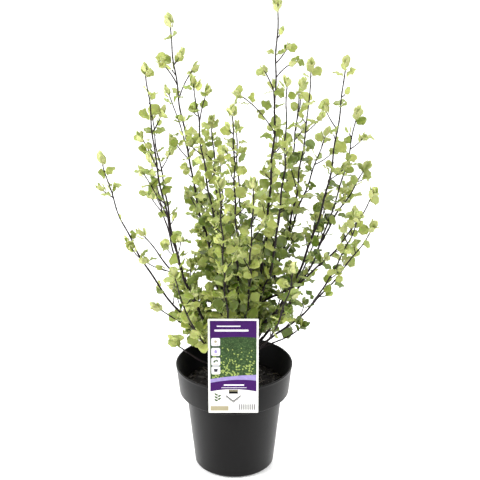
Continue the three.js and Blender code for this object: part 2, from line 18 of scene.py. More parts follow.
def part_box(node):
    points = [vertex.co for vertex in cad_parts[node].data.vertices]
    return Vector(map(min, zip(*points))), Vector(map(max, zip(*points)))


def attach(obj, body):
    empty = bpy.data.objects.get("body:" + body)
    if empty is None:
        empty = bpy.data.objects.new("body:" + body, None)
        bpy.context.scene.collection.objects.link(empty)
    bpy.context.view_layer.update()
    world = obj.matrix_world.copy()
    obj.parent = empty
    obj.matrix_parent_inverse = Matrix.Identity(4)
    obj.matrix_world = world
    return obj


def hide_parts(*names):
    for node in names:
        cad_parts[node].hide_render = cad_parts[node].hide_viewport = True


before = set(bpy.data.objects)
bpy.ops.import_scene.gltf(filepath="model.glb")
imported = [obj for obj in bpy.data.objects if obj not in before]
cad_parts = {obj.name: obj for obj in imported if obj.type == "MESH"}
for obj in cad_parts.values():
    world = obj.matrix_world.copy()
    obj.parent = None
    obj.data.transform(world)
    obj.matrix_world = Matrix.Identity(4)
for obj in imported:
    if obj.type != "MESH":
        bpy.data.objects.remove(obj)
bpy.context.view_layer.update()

bl_info = {
    "name": "Potted Shrub",
    "version": (1, 0, 0),
    "blender": (4, 5, 0),
    "location": "3D View > Sidebar > Shrub",
    "description": "Builds a potted small-leaved evergreen shrub piece by piece",
    "category": "Add Mesh",
}

MM = 0.001
UP = Vector((0, 0, 1))
GOLDEN_TURN = 2.39996
MASK = 0xFFFFFFFF
SEED = 1207

# Trunk
SOIL_TOP = 148
TRUNK_TOP = 330
TRUNK_LEAN = 40
TRUNK_BEND = 1.35
TRUNK_FOOT_RADIUS = 8
TRUNK_TOP_RADIUS = 4
FLARE_RADIUS = 5
FLARE_SHARE = 0.14
TRUNK_SIDES = 28
TRUNK_ROWS = 80
TRUNK_SUNK = 4
TRUNK_CAP = 3
TRUNK_CAP_SHARE = 0.6

# Boughs and wands
LIMB_LIFT = 0.25
LIMB_TIP_RADIUS = 0.8
LIMB_FOOT_RADIUS = 1.5
LIMB_GROWTH = 0.0025
BOUGH_LENGTH = 84
FIRST_GROWTH = 14
FORK_FIRST = 0.15
FORK_SPREAD = 0.35
FORK_FOLLOW = 0.18
WAND_PHASE = 1.9
FORK_PHASE = 2.7
LONG_TWIG_PHASE = 3.1

# Side twigs
TWIG_EVERY = 105
TWIG_LONG = 74
TWIG_SHORT = 32
TWIG_FIRST = 0.2
TWIG_LAST = 0.9
TWIG_ANGLE = 0.8
TWIG_UPTURN = 0.45
TWIG_UNEVEN = 0.5
TWIG_RADIUS = 1
TWIG_TIP_RADIUS = 0.6
TWIG_PHASES = 5
STATION_UNEVEN = 0.6
TURN_UNEVEN = 0.9

# The finest twigs: the share of their limb that stays bare, their spacing, and the longest and shortest
ON_LIMB = (0.1, 42, 34, 13)
ON_TWIG = (0.2, 34, 22, 13)
TWIGLET_FIRST = 0.3

# Leafy shoots round the upper trunk
SHOOT_FOOT = 214
SHOOT_EVERY = 3.2
SHOOT_SHORT = 28
SHOOT_LONG = 72
SHOOT_FIRST = 0.35

# How a stem's surface is made
STEM_SLIM = 0.8
STEM_SKIN = 0.24
NODE_SWELL = 0.22
STRAY_START = 60
STRAY_FADE = 0.4
BARE_TIP = 9

# Each rank of stem: sides, row length, bark relief, distance between nodes and share of the stray, then
# the leaf spacing and leaf size as shares of the usual, and the count and length of the leaves at its tip
Rank = namedtuple("Rank", "sides step relief node_gap stray leaf_gap leaf_size tip_count tip_length")
RANKS = {
    "bough": Rank(12, 1.6, 0.09, 31, 1, 1, 1, 0, 0),
    "wand": Rank(8, 2.6, 0.06, 17, 1, 1, 1, 6, 20),
    "fork": Rank(8, 3, 0.05, 17, 1, 1, 0.95, 5, 19),
    "twig": Rank(6, 3, 0.03, 11, 0.35, 0.8, 0.88, 4, 17),
    "twiglet": Rank(5, 3.5, 0.02, 8, 0.35, 0.6, 0.84, 2, 15),
}

# Every wand: the tip's place, the height of its foot on the trunk, and how far it bows out
WANDS = [
    ("far_left", (-220, 18, 564), 205, 0.75),
    ("left", (-137, -50, 733), 190, 0.85),
    ("tall_left", (-104, 24, 792), 239, 0.65),
    ("front_left_inner", (-64, -60, 717), 246, 0.55),
    ("back_left_inner", (-36, 72, 610), 286, 1),
    ("front", (-2, -100, 682), 228, 0.45),
    ("back", (3, 112, 588), 268, 0.45),
    ("front_outer", (-21, -150, 581), 187, 0.75),
    ("back_left", (-63, 140, 487), 212, 0.8),
    ("leader", (69, 0, 825), TRUNK_TOP, 0.9),
    ("front_right_inner", (83, -70, 720), 262, 1),
    ("right_inner", (126, 42, 716), 238, 0.85),
    ("back_right", (116, 112, 662), 252, 0.6),
    ("tall_right", (176, -12, 734), 222, 0.9),
    ("right", (203, 36, 637), 196, 0.75),
    ("right_front", (228, -52, 529), 300, 0.65),
    ("low_right", (232, -42, 467), 205, 0.55),
    ("front_middle", (31, -140, 578), 242, 0.65),
    ("back_far_left", (-146, 150, 520), 190, 0.75),
    ("back_middle", (-25, 205, 500), 198, 0.8),
    ("back_outer", (75, 190, 570), 224, 0.75),
    ("back_low_right", (165, 150, 440), 206, 0.75),
    ("front_left", (-95, -150, 430), 198, 0.75),
    ("front_right", (95, -165, 445), 204, 0.75),
    ("spray_left", (-139, -6, 303), 222, 0.5),
    ("spray_front_left", (-104, -70, 263), 178, 0.5),
    ("spray_right", (118, -62, 296), 213, 0.6),
    ("spray_back", (8, 132, 305), 184, 0.6),
    ("spray_back_right", (98, 100, 312), 186, 0.6),
    ("spray_back_left", (-112, 84, 318), 222, 0.6),
]

# Forks and long side twigs: the wand they leave, at what share of its length, and their tip
FORKS = [
    ("left", 0.25, (-161, 10, 432)),
    ("left", 0.4, (-134, 20, 640)),
    ("right_inner", 0.3, (159, 90, 583)),
    ("right", 0.5, (227, 60, 533)),
    ("low_right", 0.45, (203, -90, 502)),
]
LONG_TWIGS = [
    ("left", 0.69, (-152, -45, 621)),
    ("left", 0.55, (-152, -35, 557)),
    ("tall_left", 0.8, (-120, 10, 724)),
    ("tall_left", 0.76, (-57, 35, 711)),
    ("tall_left", 0.6, (-110, 40, 671)),
    ("back_right", 0.8, (107, 60, 660)),
    ("leader", 0.56, (0, -12, 678)),
    ("leader", 0.68, (44, 8, 714)),
    ("leader", 0.74, (101, -8, 728)),
    ("front_left_inner", 0.82, (-38, -66, 703)),
]

# A leaf blade: share of its length, and share of its widest half width
BLADE_ROWS = [
    (0, 0.1), (0.09, 0.44), (0.2, 0.74), (0.32, 0.92), (0.44, 0.99),
    (0.56, 1), (0.68, 0.94), (0.8, 0.79), (0.91, 0.53), (1, 0.17),
]
BLADE_COLUMNS = [-1, -0.55, 0, 0.55, 1]
BLADE_THICKNESS = 0.35
PETIOLE = 0.15
PETIOLE_FOOT_RADIUS = 0.45
PETIOLE_TOP_RADIUS = 0.38

# The faces of a leaf by the slot of their finish. The edge takes the underside's.
UPPER = 0
UNDER = 1
EDGE = 2

# How leaves are set: leaves often stand in pairs, and those at a tip stand close and upright
PAIR_GAP = 1.55
PAIR_SHARE = 0.6
PAIR_OFFSET = 2.5
LEAF_LAST = 0.96
LEAF_ANGLES = (0.75, 1.35)
LEAF_SIZES = (0.74, 1.15)
TIP_SPREADS = (0.45, 0.12)
TIP_SLIM = 0.66
TIP_CALM = 0.4
TIP_KIND_HEIGHT = 430
TIP_KIND_OUTER = 0.75
TIP_FRESH_SHARE = 0.4
LEAVES_A_PIECE = 900

# The colours of sprays, and the lightness up to which each one is dealt out. Besides the leaves' age, the
# lightness carries painted light: painted shade low down and inside the crown, painted light high up and
# outside.
LEAF_KINDS = ("deep", "mid", "light", "fresh_and_lit", "tip")
KIND_LIMITS = (("deep", 0.16), ("mid", 0.43), ("light", 0.74), ("fresh_and_lit", math.inf))
CROWN_FOOT = 220
CROWN_HEIGHT = 560
CROWN_MIDDLE = 20
CROWN_REACH = 190
LOW_ZONE = 180
# Painted light and shade: low outer sprays are dealt paler colours towards the left and darker ones towards
# the right, over the reach below
PAINTED_SUN_REACH = 110
LIGHTNESS_AT_FOOT = 0.01
LIGHTNESS_BY_HEIGHT = 0.62
LIGHTNESS_OUTSIDE = 0.3
# Painted light and shade: how much paler low outer sprays on the left are dealt, and how much darker on the
# right
PAINTED_SUN_LIGHTNESS = 0.95
LIGHTNESS_UNEVEN = 0.76
LEAF_GLOW = 0.18
UNDERSIDE_GREY = (0.38, 0.45, 0.21)
UNDERSIDE_SHARE = 0.3

# Kept clear of leaves: beside the pot's rim, over the potting mix, and round the label
RIM_HEIGHT = 194
RIM_REACH = 84
MIX_HEIGHTS = (221, 246)
MIX_SIDE = 30
MIX_SLOPE = 0.4
LABEL_HALF = 49
LABEL_FRONT = -113
LABEL_BACK = -92
LABEL_HEIGHT = 328

# How thickly the crown is set, as a share of the usual: a row for each place from left to right,
# with a value for each height. Sprays towards the front are set a little thinner.
CROWD_HEIGHTS = [230, 360, 470, 575, 680, 800]
CROWD_PLACES = [-150, -110, -90, -50, 45, 95]
CROWD = [
    [0.45, 0.42, 0.6, 0.64, 0.52, 0.65],
    [0.4, 0.32, 0.33, 0.52, 0.46, 0.7],
    [0.45, 0.3, 0.25, 0.5, 0.42, 0.7],
    [2.2, 1.95, 0.9, 1.2, 0.36, 0.5],
    [1.5, 1.5, 0.92, 1.0, 0.33, 0.55],
    [0.2, 0.62, 0.92, 0.58, 0.36, 0.5],
]
CROWD_DEPTHS = [-120, -40]
CROWD_FRONT = 0.62

# Pot, in metres
POT_SIDES = 168
POT_FLOOR = 0.0026
POT_CORNER = 0.0011
LEDGE_HEIGHT = 0.003
LEDGE_WIDTH = 0.012
BAND_INSET = 0.0055
UNDERSIDE_LIFT = 0.0012
UNDERSIDE_REACH = 0.05
DRAIN_HOLES = 8
DRAIN_TURN = 0.2
DRAIN_RING = 0.042
DRAIN_RADIUS = 0.0045
DRAIN_SIDES = 24
DRAIN_HEIGHTS = (-0.002, 0.0045)
SHARP_ANGLE = 40
POT_SHEEN = 0.18
POT_SHEEN_SPREAD = 0.38

# Potting mix, in metres. The reach of chips and roots is a share of its radius.
MIX_SIDES = 150
MIX_RINGS = 46
MIX_FOOT = 0.003
MIX_SHOULDER = 0.13
MIX_FIT = 0.0004
TRUNK_CLEAR = 0.014
CHIP_COLOURS = [(0.004, 0.0028, 0.002), (0.02, 0.0135, 0.009)]
GRIT_COLOURS = [(0.1, 0.09, 0.075), (0.26, 0.24, 0.21)]
ROOT_COLOURS = [(0.06, 0.045, 0.03), (0.16, 0.125, 0.09)]
CHIP_COUNT = 620
CHIP_REACH = 0.96
CHIP_SIDES = 6
SPECK_EVERY = 9
ROOT_COUNT = 26
ROOT_REACH = 0.9
ROOT_STEPS = 8
ROOT_SIDES = 5
ROOT_RADIUS = 0.00035
ROOT_LIFT = 0.0012

# Label. The heights of its cuts and tongue are over the floor, and those of its print over its foot.
LABEL_CENTRE = -1.0
LABEL_FOOT = 147.0
LABEL_CORNER = 1.3
LABEL_BORDER = 3.4
SHEET_FRONT = -100.9
SHEET_BACK = -100.3
SLOT_HALF = 7.5
SLOT_FOOT = 182.5
SLOT_TOP = 190.3
CHEVRON_CUT = [(-12.5, 178), (0, 167), (12.5, 178), (11.6, 178.9), (0, 168.35), (-11.6, 178.9)]
CHEVRON_FOLD = [(-12.5, 178.9), (0, 168.35), (12.5, 178.9)]
# Painted shadow: dark lines along the chevron cut, as heights over and under its inner edge
CHEVRON_SHADOW_LINES = [(0.4, 1.6), (-2.6, -1.7)]
TONGUE_SPINE = [(-100.6, 190.6), (-97.5, 190.6), (-93.9, 165.9)]
TONGUE_BEND = 1.6
TONGUE_HALF = 6.5
TONGUE_END_HALF = 4.5
TONGUE_HALF_THICKNESS = 0.3
INK_LIFT = 0.035
INK_GAP = 0.005
PANEL_FOOT = 64
PANEL_TOP = 146
PANEL_ROWS = 24
PANEL_COLUMNS = 21
PALE_BARS = [(-27, 12, 158.8, 160.9), (-31, 25, 150.2, 153.9), (-16, 18, 50.7, 53.3), (-20, 22, 46.6, 47.5)]
TILE_SIDE = 14.5
TILE_RIGHT = 16.5
TILE_HEIGHTS = (124, 106, 88, 72)

# Stage, in metres
FLOOR_REACH = 14
FLOOR_RINGS = 40
FLOOR_SIDES = 96
FLOOR_LEVEL = -0.0004
FLOOR_GLOW = 0.22
ROOM_LIGHT_FRONT = 0.45
ROOM_LIGHT_BACK = 1.0
CAMERA_SIDE = 0.01
CAMERA_TILT = 22.33

# Each light's name, place, size, power and the place it is aimed at
LIGHTS = [
    ("key_light", (-2.1, -1.3, 2.7), 1.5, 67, (0, 0, 0.42)),
    ("side_light", (-1.95, -0.95, 0.7), 1.9, 44, (0, 0, 0.2)),
    ("fill_light", (2.3, -0.9, 1.7), 1.5, 46, (0, 0, 0.42)),
    ("back_light", (0.4, 2.2, 2.7), 2, 60, (0, 0, 0.42)),
]


# Settings

def length_of(name, description, default):
    return FloatProperty(
        name=name, description=description, default=default, min=0, unit="LENGTH", subtype="DISTANCE"
    )


def colour_of(name, description, default):
    return FloatVectorProperty(
        name=name, description=description, default=default, size=3, min=0, max=1, subtype="COLOR"
    )


class PotSettings(bpy.types.PropertyGroup):
    rim_radius: length_of("Rim Radius", "Outer radius of the rim", 0.1)
    foot_radius: length_of("Foot Radius", "Outer radius at the floor", 0.068)
    height: length_of("Height", "Height of the rim over the floor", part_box("pot")[1].z)
    wall: length_of("Wall", "Thickness of the wall", 0.0022)
    band: length_of("Rim Band", "Height of the wider band under the rim", 0.051)
    colour: colour_of("Colour", "Colour of the plastic", (0.00325, 0.003, 0.00315))


class MixSettings(bpy.types.PropertyGroup):
    level: length_of("Level", "Height of the potting mix over the floor", 0.148)
    chip: length_of("Chip Size", "Length of the larger bark chips", 0.011)
    colour: colour_of("Colour", "Colour of the potting mix", (0.0046, 0.0036, 0.003))


class LabelSettings(bpy.types.PropertyGroup):
    width: length_of("Width", "Width of the label", 0.083)
    height: length_of("Height", "Height of the label", 0.173)
    sheet: colour_of("Sheet", "Colour of the bare plastic", (0.82, 0.81, 0.785))
    band: colour_of("Bands", "Colour of the printed bands", (0.045, 0.006, 0.1))
    panel: colour_of("Panel", "Colour behind the printed leaves", (0.03, 0.062, 0.02))


class WoodSettings(bpy.types.PropertyGroup):
    wiggle: length_of("Wiggle", "How far a wand strays to each side", 0.0014)
    bark: colour_of("Bark", "Colour of the bark", (0.0125, 0.0088, 0.01))


class LeafSettings(bpy.types.PropertyGroup):
    length: length_of("Leaf Length", "Length of a grown leaf with its stalk", 0.0225)
    spacing: length_of("Leaf Spacing", "Distance between leaves along a wand", 0.0125)
    # These colours carry painted light as well as age: deep goes to low and inner sprays as painted shade,
    # and light and fresh to high and outer sprays as painted light
    deep: colour_of("Deep", "Colour of the oldest leaves", (0.08, 0.109, 0.009))
    mid: colour_of("Mid", "Colour of most leaves", (0.197, 0.236, 0.036))
    light: colour_of("Light", "Colour of younger leaves", (0.318, 0.347, 0.087))
    fresh_and_lit: colour_of("Fresh", "Colour of this season's leaves", (0.4, 0.426, 0.13))
    tip: colour_of("Tips", "Colour of the leaves at the shoot tips", (0.435, 0.452, 0.18))


class StageSettings(bpy.types.PropertyGroup):
    distance: length_of("Distance", "Camera's distance in front of the pot", 2.3)
    height: length_of("Height", "Camera's height over the floor", 1.3619)
    lens: FloatProperty(name="Lens", description="Focal length in millimetres", default=112.13, min=1)
    floor: colour_of("Floor", "Colour of the floor", (0.9, 0.9, 0.9))


# Meshes

def build_object(name, vertices, faces, materials, slots=None, flat=None):
    """A new object from points and faces, smooth but for the faces named flat"""
    mesh = bpy.data.meshes.new(name)
    mesh.from_pydata(vertices, [], faces)
    for material in materials:
        mesh.materials.append(material)
    if slots is not None:
        mesh.polygons.foreach_set("material_index", np.asarray(slots, dtype=np.int32))
    mesh.shade_smooth()
    if flat is not None:
        sharp = mesh.attributes.get("sharp_face") or mesh.attributes.new("sharp_face", "BOOLEAN", "FACE")
        sharp.data.foreach_set("value", np.asarray(flat, dtype=bool))
    mesh.validate()
    mesh.update()
    made = bpy.data.objects.new(name, mesh)
    bpy.context.scene.collection.objects.link(made)
    return made


def place_on_plant(piece, slot, *nodes):
    """The piece moves with the plant and stands for some solids. Its slot is not used."""
    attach(piece, "root")
    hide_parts(*nodes)


class Pile:
    """Points and faces of many parts, gathered into one mesh"""

    def __init__(self):
        self.points = []
        self.faces = []
        self.slots = []

    def add(self, points, faces, slot=0):
        start = len(self.points)
        self.points.extend(points)
        self.faces.extend(tuple(index + start for index in face) for face in faces)
        self.slots.extend([slot] * len(faces))

    def build(self, name, materials, flat=False):
        return build_object(name, self.points, self.faces, materials, self.slots, [flat] * len(self.faces))


def ring_faces(rings, sides):
    """Faces round rings of points, with a cap over each end"""
    faces = []
    for row in range(rings - 1):
        for side in range(sides):
            a = row * sides + side
            b = row * sides + (side + 1) % sides
            faces.append((a, b, b + sides, a + sides))
    last = (rings - 1) * sides
    faces.append(tuple(range(sides - 1, -1, -1)))
    faces.append(tuple(range(last, last + sides)))
    return faces


def around(sides):
    """The turns of even sides round a full circle"""
    return [side / sides * math.tau for side in range(sides)]


def on_circle(radius, turn):
    return radius * math.cos(turn), radius * math.sin(turn)


def lathe(profile, sides):
    """Points and faces of a profile of (radius, height) turned round the upright axis"""
    points = []
    faces = []
    rows = []
    for radius, height in profile:
        if radius == 0:
            rows.append([len(points)])
            points.append((0, 0, height))
            continue
        rows.append(list(range(len(points), len(points) + sides)))
        points += [(*on_circle(radius, turn), height) for turn in around(sides)]
    for lower, upper in zip(rows, rows[1:]):
        for side in range(sides):
            a, b = lower[side % len(lower)], lower[(side + 1) % len(lower)]
            c, d = upper[(side + 1) % len(upper)], upper[side % len(upper)]
            faces.append(tuple(dict.fromkeys((a, b, c, d))))
    return points, faces


def rounded(profile, radius, steps=4):
    """The profile with each inner corner turned into a short arc that leaves some of both its sides"""
    smooth = [profile[0]]
    for before, corner, after in zip(profile, profile[1:], profile[2:]):
        p, c, q = Vector(before), Vector(corner), Vector(after)
        reach = min(radius, (p - c).length * 0.45, (q - c).length * 0.45)
        start = c + (p - c).normalized() * reach
        end = c + (q - c).normalized() * reach
        for step in range(steps + 1):
            share = step / steps
            point = start.lerp(c, share).lerp(c.lerp(end, share), share)
            smooth.append((point.x, point.y))
    smooth.append(profile[-1])
    return smooth


def plate(outlines, near, far):
    """A flat plate from an outline and holes, as (x, z) points, between two depths along Y"""
    loops = [[Vector((x, z, 0)) for x, z in outline] for outline in outlines]
    flat = [point for loop in loops for point in loop]
    total = len(flat)
    points = [(point.x, near, point.y) for point in flat] + [(point.x, far, point.y) for point in flat]
    faces = []
    for a, b, c in tessellate_polygon(loops):
        if (flat[b] - flat[a]).cross(flat[c] - flat[a]).z < 0:
            b, c = c, b
        faces.append((a, b, c))
        faces.append((a + total, c + total, b + total))
    start = 0
    for outline in outlines:
        size = len(outline)
        area = sum(p[0] * q[1] - q[0] * p[1] for p, q in zip(outline, outline[1:] + outline[:1]))
        outer = start == 0
        for index in range(size):
            a, b = start + index, start + (index + 1) % size
            if (area > 0) != outer:
                a, b = b, a
            faces.append((b, a, a + total, b + total))
        start += size
    return points, faces


# Shaders

def wire(owner, node, sockets):
    """Set a node's sockets to values, or link them from other nodes"""
    for name, source in sockets.items():
        if isinstance(source, bpy.types.NodeSocket):
            owner.node_tree.links.new(source, node.inputs[name])
        else:
            node.inputs[name].default_value = source


def add_node(owner, kind, sockets):
    """A new node of a finish or of the room's light"""
    node = owner.node_tree.nodes.new(kind)
    wire(owner, node, sockets)
    return node


def tune(material, sockets):
    """Set or link the main values of a finish"""
    wire(material, material.node_tree.nodes["Principled BSDF"], sockets)


def shade(colour, factor):
    """The colour made darker or lighter"""
    return tuple(min(1, channel * factor) for channel in colour)


def shades(colour, low, high=1):
    """The two shades that a mottled finish runs between"""
    return shade(colour, low), shade(colour, high)


def mottled(name, colours, size, roughness, bump, bump_size, specular=0.5, stretch=(1, 1, 1)):
    """Cloudy colour between two shades, uneven gloss and a fine relief. Sizes are in metres."""
    material = bpy.data.materials.new(name)
    material.use_nodes = True
    place = add_node(material, "ShaderNodeTexCoord", {}).outputs["Object"]
    long = add_node(material, "ShaderNodeMapping", {"Vector": place, "Scale": stretch}).outputs["Vector"]
    noise = {"Vector": long, "Scale": 1 / size, "Detail": 6.0, "Roughness": 0.6}
    cloud = add_node(material, "ShaderNodeTexNoise", noise).outputs["Fac"]
    ramp = add_node(material, "ShaderNodeValToRGB", {"Fac": cloud})
    for element, position, colour in zip(ramp.color_ramp.elements, (0.32, 0.7), colours):
        element.position = position
        element.color = (*colour, 1)
    gloss = {"Value": cloud, "To Min": roughness[0], "To Max": roughness[1]}
    noise = {"Vector": long, "Scale": 1 / bump_size, "Detail": 4.0}
    grain = add_node(material, "ShaderNodeTexNoise", noise).outputs["Fac"]
    relief = {"Height": grain, "Strength": bump, "Distance": bump_size}
    tune(material, {
        "Base Color": ramp.outputs["Color"],
        "Roughness": add_node(material, "ShaderNodeMapRange", gloss).outputs["Result"],
        "Normal": add_node(material, "ShaderNodeBump", relief).outputs["Normal"],
        "Specular IOR Level": specular,
    })
    return material


def leaf_material(name, colour, roughness):
    """A waxy leaf: a plain colour with a slight mottle, a fine grain and some light through it"""
    material = mottled(name, shades(colour, 0.9, 1.1), 0.009, roughness, 0.25, 0.0016, specular=0.42)
    tune(material, {
        "Subsurface Weight": LEAF_GLOW,
        "Subsurface Radius": (0.6, 1.0, 0.25),
        "Subsurface Scale": 0.002,
    })
    return material


# Limbs, by the same rule as the solids

def mix(a, b, share):
    """The value at a share of the way from one to the other"""
    return a + (b - a) * share


def random_from(seed):
    """Seeded random numbers from 0 to 1"""
    state = seed & MASK

    def draw():
        nonlocal state
        state = (state + 0x6D2B79F5) & MASK
        value = ((state ^ (state >> 15)) * (1 | state)) & MASK
        value = ((value + ((value ^ (value >> 7)) * (61 | value))) & MASK) ^ value
        return (value ^ (value >> 14)) / (MASK + 1)

    return draw


def uneven(draw, spread):
    """A random share about a half"""
    return 0.5 + spread * (draw() - 0.5)


def round_up_half(value):
    return math.floor(value + 0.5)


class Limb:
    """A tapering limb along a curve that lies in one plane, in millimetres"""

    STEPS = 200

    def __init__(self, start, middle, tip, foot_radius, tip_radius):
        self.start, self.middle, self.tip = start, middle, tip
        self.foot_radius, self.tip_radius = foot_radius, tip_radius
        across = (middle - start).cross(tip - start)
        if across.length_squared < 1:
            across = (tip - start).cross(Vector((0, 1, 0)))
        self.across = across.normalized()
        self.marks = [0.0]
        before = start
        for step in range(1, self.STEPS + 1):
            point = self.bare(step / self.STEPS)
            self.marks.append(self.marks[-1] + (point - before).length)
            before = point
        self.length = self.marks[-1]
        self.phase = 0.0

    def bare(self, t):
        return self.start.lerp(self.middle, t).lerp(self.middle.lerp(self.tip, t), t)

    def at(self, share):
        """The curve's own parameter at a share of the limb's length"""
        return float(np.interp(share * self.length, self.marks, np.linspace(0, 1, self.STEPS + 1)))

    def tangent(self, share):
        t = self.at(share)
        return ((self.middle - self.start) * (1 - t) + (self.tip - self.middle) * t).normalized()

    def point(self, share):
        return self.bare(self.at(share))

    def sideways(self, share, turn):
        """A direction square to the limb, turned round it"""
        third = self.across.cross(self.tangent(share))
        return self.across * math.cos(turn) + third * math.sin(turn)

    def radius(self, share):
        return mix(self.foot_radius, self.tip_radius, share)

    def strayed(self, share, wiggle):
        """The point with the limb's slight wander, two waves to each side"""
        along = share * self.length
        fade = min(1, along / STRAY_START) * wiggle * (1 - STRAY_FADE * share)
        one = math.sin(along / 11 + self.phase) + 0.7 * math.sin(along / 27 + 2.3 * self.phase)
        two = math.sin(along / 14 + 1.7 * self.phase) + 0.7 * math.sin(along / 31 - self.phase)
        return (
            self.point(share)
            + self.sideways(share, 0) * one * fade
            + self.sideways(share, math.pi / 2) * two * fade
        )


def trunk_point(height):
    """The middle of the leaning trunk"""
    share = max(0, (height - SOIL_TOP) / (TRUNK_TOP - SOIL_TOP))
    return Vector((TRUNK_LEAN * share ** TRUNK_BEND, 0, height))


def trunk_radius(height):
    """The trunk's radius with its flared foot"""
    share = (height - SOIL_TOP) / (TRUNK_TOP - SOIL_TOP)
    flare = FLARE_RADIUS * max(0, 1 - share / FLARE_SHARE) ** 2
    return mix(TRUNK_FOOT_RADIUS, TRUNK_TOP_RADIUS, share) + flare


def wand_limb(tip, foot, bow):
    """A wand from the trunk that bows outward and then rises to its tip"""
    start = trunk_point(foot)
    end = Vector(tip)
    middle = start.lerp(end, bow)
    middle.z = mix(start.z, end.z, LIMB_LIFT)
    limb = Limb(start, middle, end, 1, LIMB_TIP_RADIUS)
    limb.foot_radius = LIMB_FOOT_RADIUS + LIMB_GROWTH * limb.length
    return limb


def side_limb(parent, at, tip, foot_radius):
    """A fork or long twig that follows its parent for a while"""
    start = parent.point(at)
    end = Vector(tip)
    middle = start.lerp(end, FORK_SPREAD) + parent.tangent(at) * ((end - start).length * FORK_FOLLOW)
    return Limb(start, middle, end, foot_radius, LIMB_TIP_RADIUS)


def twig_from(start, ahead, side, reach):
    """A side twig that leaves its limb at an angle and bends upward"""
    out = ahead * math.cos(TWIG_ANGLE) + side * math.sin(TWIG_ANGLE)
    middle = start + out * (reach / 2)
    tip = middle + out.lerp(UP, TWIG_UPTURN).normalized() * (reach / 2)
    return Limb(start, middle, tip, TWIG_RADIUS, TWIG_TIP_RADIUS)


def twig_on(limb, at, index, long, short, draw):
    """A side twig, turned on from the one before it, and shorter towards the limb's tip"""
    turn = index * GOLDEN_TURN + draw() * TURN_UNEVEN
    reach = mix(long, short, at) * (0.5 + uneven(draw, TWIG_UNEVEN))
    return twig_from(limb.point(at), limb.tangent(at), limb.sideways(at, turn), reach)


def twigs_of(wand, first, draw):
    """Side twigs at even stations"""
    count = round_up_half((TWIG_LAST - first) * wand.length / TWIG_EVERY)
    twigs = []
    for index in range(count):
        at = mix(first, TWIG_LAST, (index + uneven(draw, STATION_UNEVEN)) / count)
        twigs.append(twig_on(wand, at, index, TWIG_LONG, TWIG_SHORT, draw))
    return twigs


def crowd_at(point):
    """How thickly the crown is set at a place"""
    columns = [np.interp(point.z, CROWD_HEIGHTS, column) for column in CROWD]
    front = np.interp(point.y, CROWD_DEPTHS, (CROWD_FRONT, 1))
    return float(np.interp(point.x, CROWD_PLACES, columns) * front)


def stations(limb, first, last, every, draw):
    """Places along a limb, closer together where the crown is thicker"""
    places = []
    along = first * limb.length
    while True:
        along += every / crowd_at(limb.point(along / limb.length)) * (0.5 + uneven(draw, STATION_UNEVEN))
        if along > last * limb.length:
            return places
        places.append(along / limb.length)


def twiglets_of(limb, first, every, long, short, draw):
    """The finest twigs, where they have room"""
    small = []
    for index, at in enumerate(stations(limb, first, TWIG_LAST, every, draw)):
        twig = twig_on(limb, at, index, long, short, draw)
        if twig_has_room(twig):
            small.append(Stem(twig, "twiglet", TWIGLET_FIRST, TWIG_PHASES * draw()))
    return small


def trunk_twiglets(draw):
    """Leafy shoots round the upper trunk"""
    small = []
    height = SHOOT_FOOT
    while height < TRUNK_TOP:
        turn = len(small) * GOLDEN_TURN + draw() * TURN_UNEVEN
        side = Vector((*on_circle(1, turn), 0))
        twig = twig_from(trunk_point(height), UP, side, mix(SHOOT_SHORT, SHOOT_LONG, draw()))
        if twig_has_room(twig):
            small.append(Stem(twig, "twiglet", SHOOT_FIRST, TWIG_PHASES * draw()))
        height += SHOOT_EVERY
    return small


def has_room(point):
    """Whether a place, in millimetres, is clear of the pot, the label and the potting mix"""
    if point.z < RIM_HEIGHT and math.hypot(point.x, point.y) > RIM_REACH:
        return False
    if point.z < MIX_HEIGHTS[point.x > MIX_SIDE] - MIX_SLOPE * point.y:
        return False
    return not (abs(point.x) < LABEL_HALF and LABEL_FRONT < point.y < LABEL_BACK and point.z < LABEL_HEIGHT)


def twig_has_room(twig):
    return has_room(twig.tip) and has_room(twig.middle)


class Stem:
    """A limb with its rank on the plant, and where its growth starts"""

    def __init__(self, limb, rank, first, phase):
        self.limb = limb
        self.rank = rank
        self.first = first
        limb.phase = phase


def grow_crown():
    """Every wand, fork and twig of the crown"""
    stems = []
    rows = {}
    for index, (name, tip, foot, bow) in enumerate(WANDS):
        wand = wand_limb(tip, foot, bow)
        bough = 0 if name.startswith("spray") else BOUGH_LENGTH / wand.length
        first = bough + FIRST_GROWTH / wand.length
        rows[name] = (wand, first, random_from(SEED + index), random_from(SEED * 3 + 100 + index))
        stems.append(Stem(wand, "wand", first, index * WAND_PHASE))
    forks = {name: [] for name in rows}
    for index, (name, at, tip) in enumerate(FORKS):
        wand = rows[name][0]
        fork = side_limb(wand, at, tip, mix(wand.foot_radius, LIMB_TIP_RADIUS, at))
        forks[name].append(fork)
        stems.append(Stem(fork, "fork", FORK_FIRST, index * FORK_PHASE))
    for index, (name, at, tip) in enumerate(LONG_TWIGS):
        twig = side_limb(rows[name][0], at, tip, TWIG_RADIUS)
        stems.append(Stem(twig, "twig", TWIG_FIRST, index * LONG_TWIG_PHASE))
    for name, (wand, wand_first, draw, finer) in rows.items():
        for limb in [wand, *forks[name]]:
            first = wand_first if limb is wand else FORK_FIRST
            for twig in twigs_of(limb, first, draw):
                if twig_has_room(twig):
                    stems.append(Stem(twig, "twig", TWIG_FIRST, TWIG_PHASES * finer()))
                    stems += twiglets_of(twig, *ON_TWIG, finer)
            stems += twiglets_of(limb, *ON_LIMB, finer)
    return stems + trunk_twiglets(random_from(SEED * 5))


# Wood

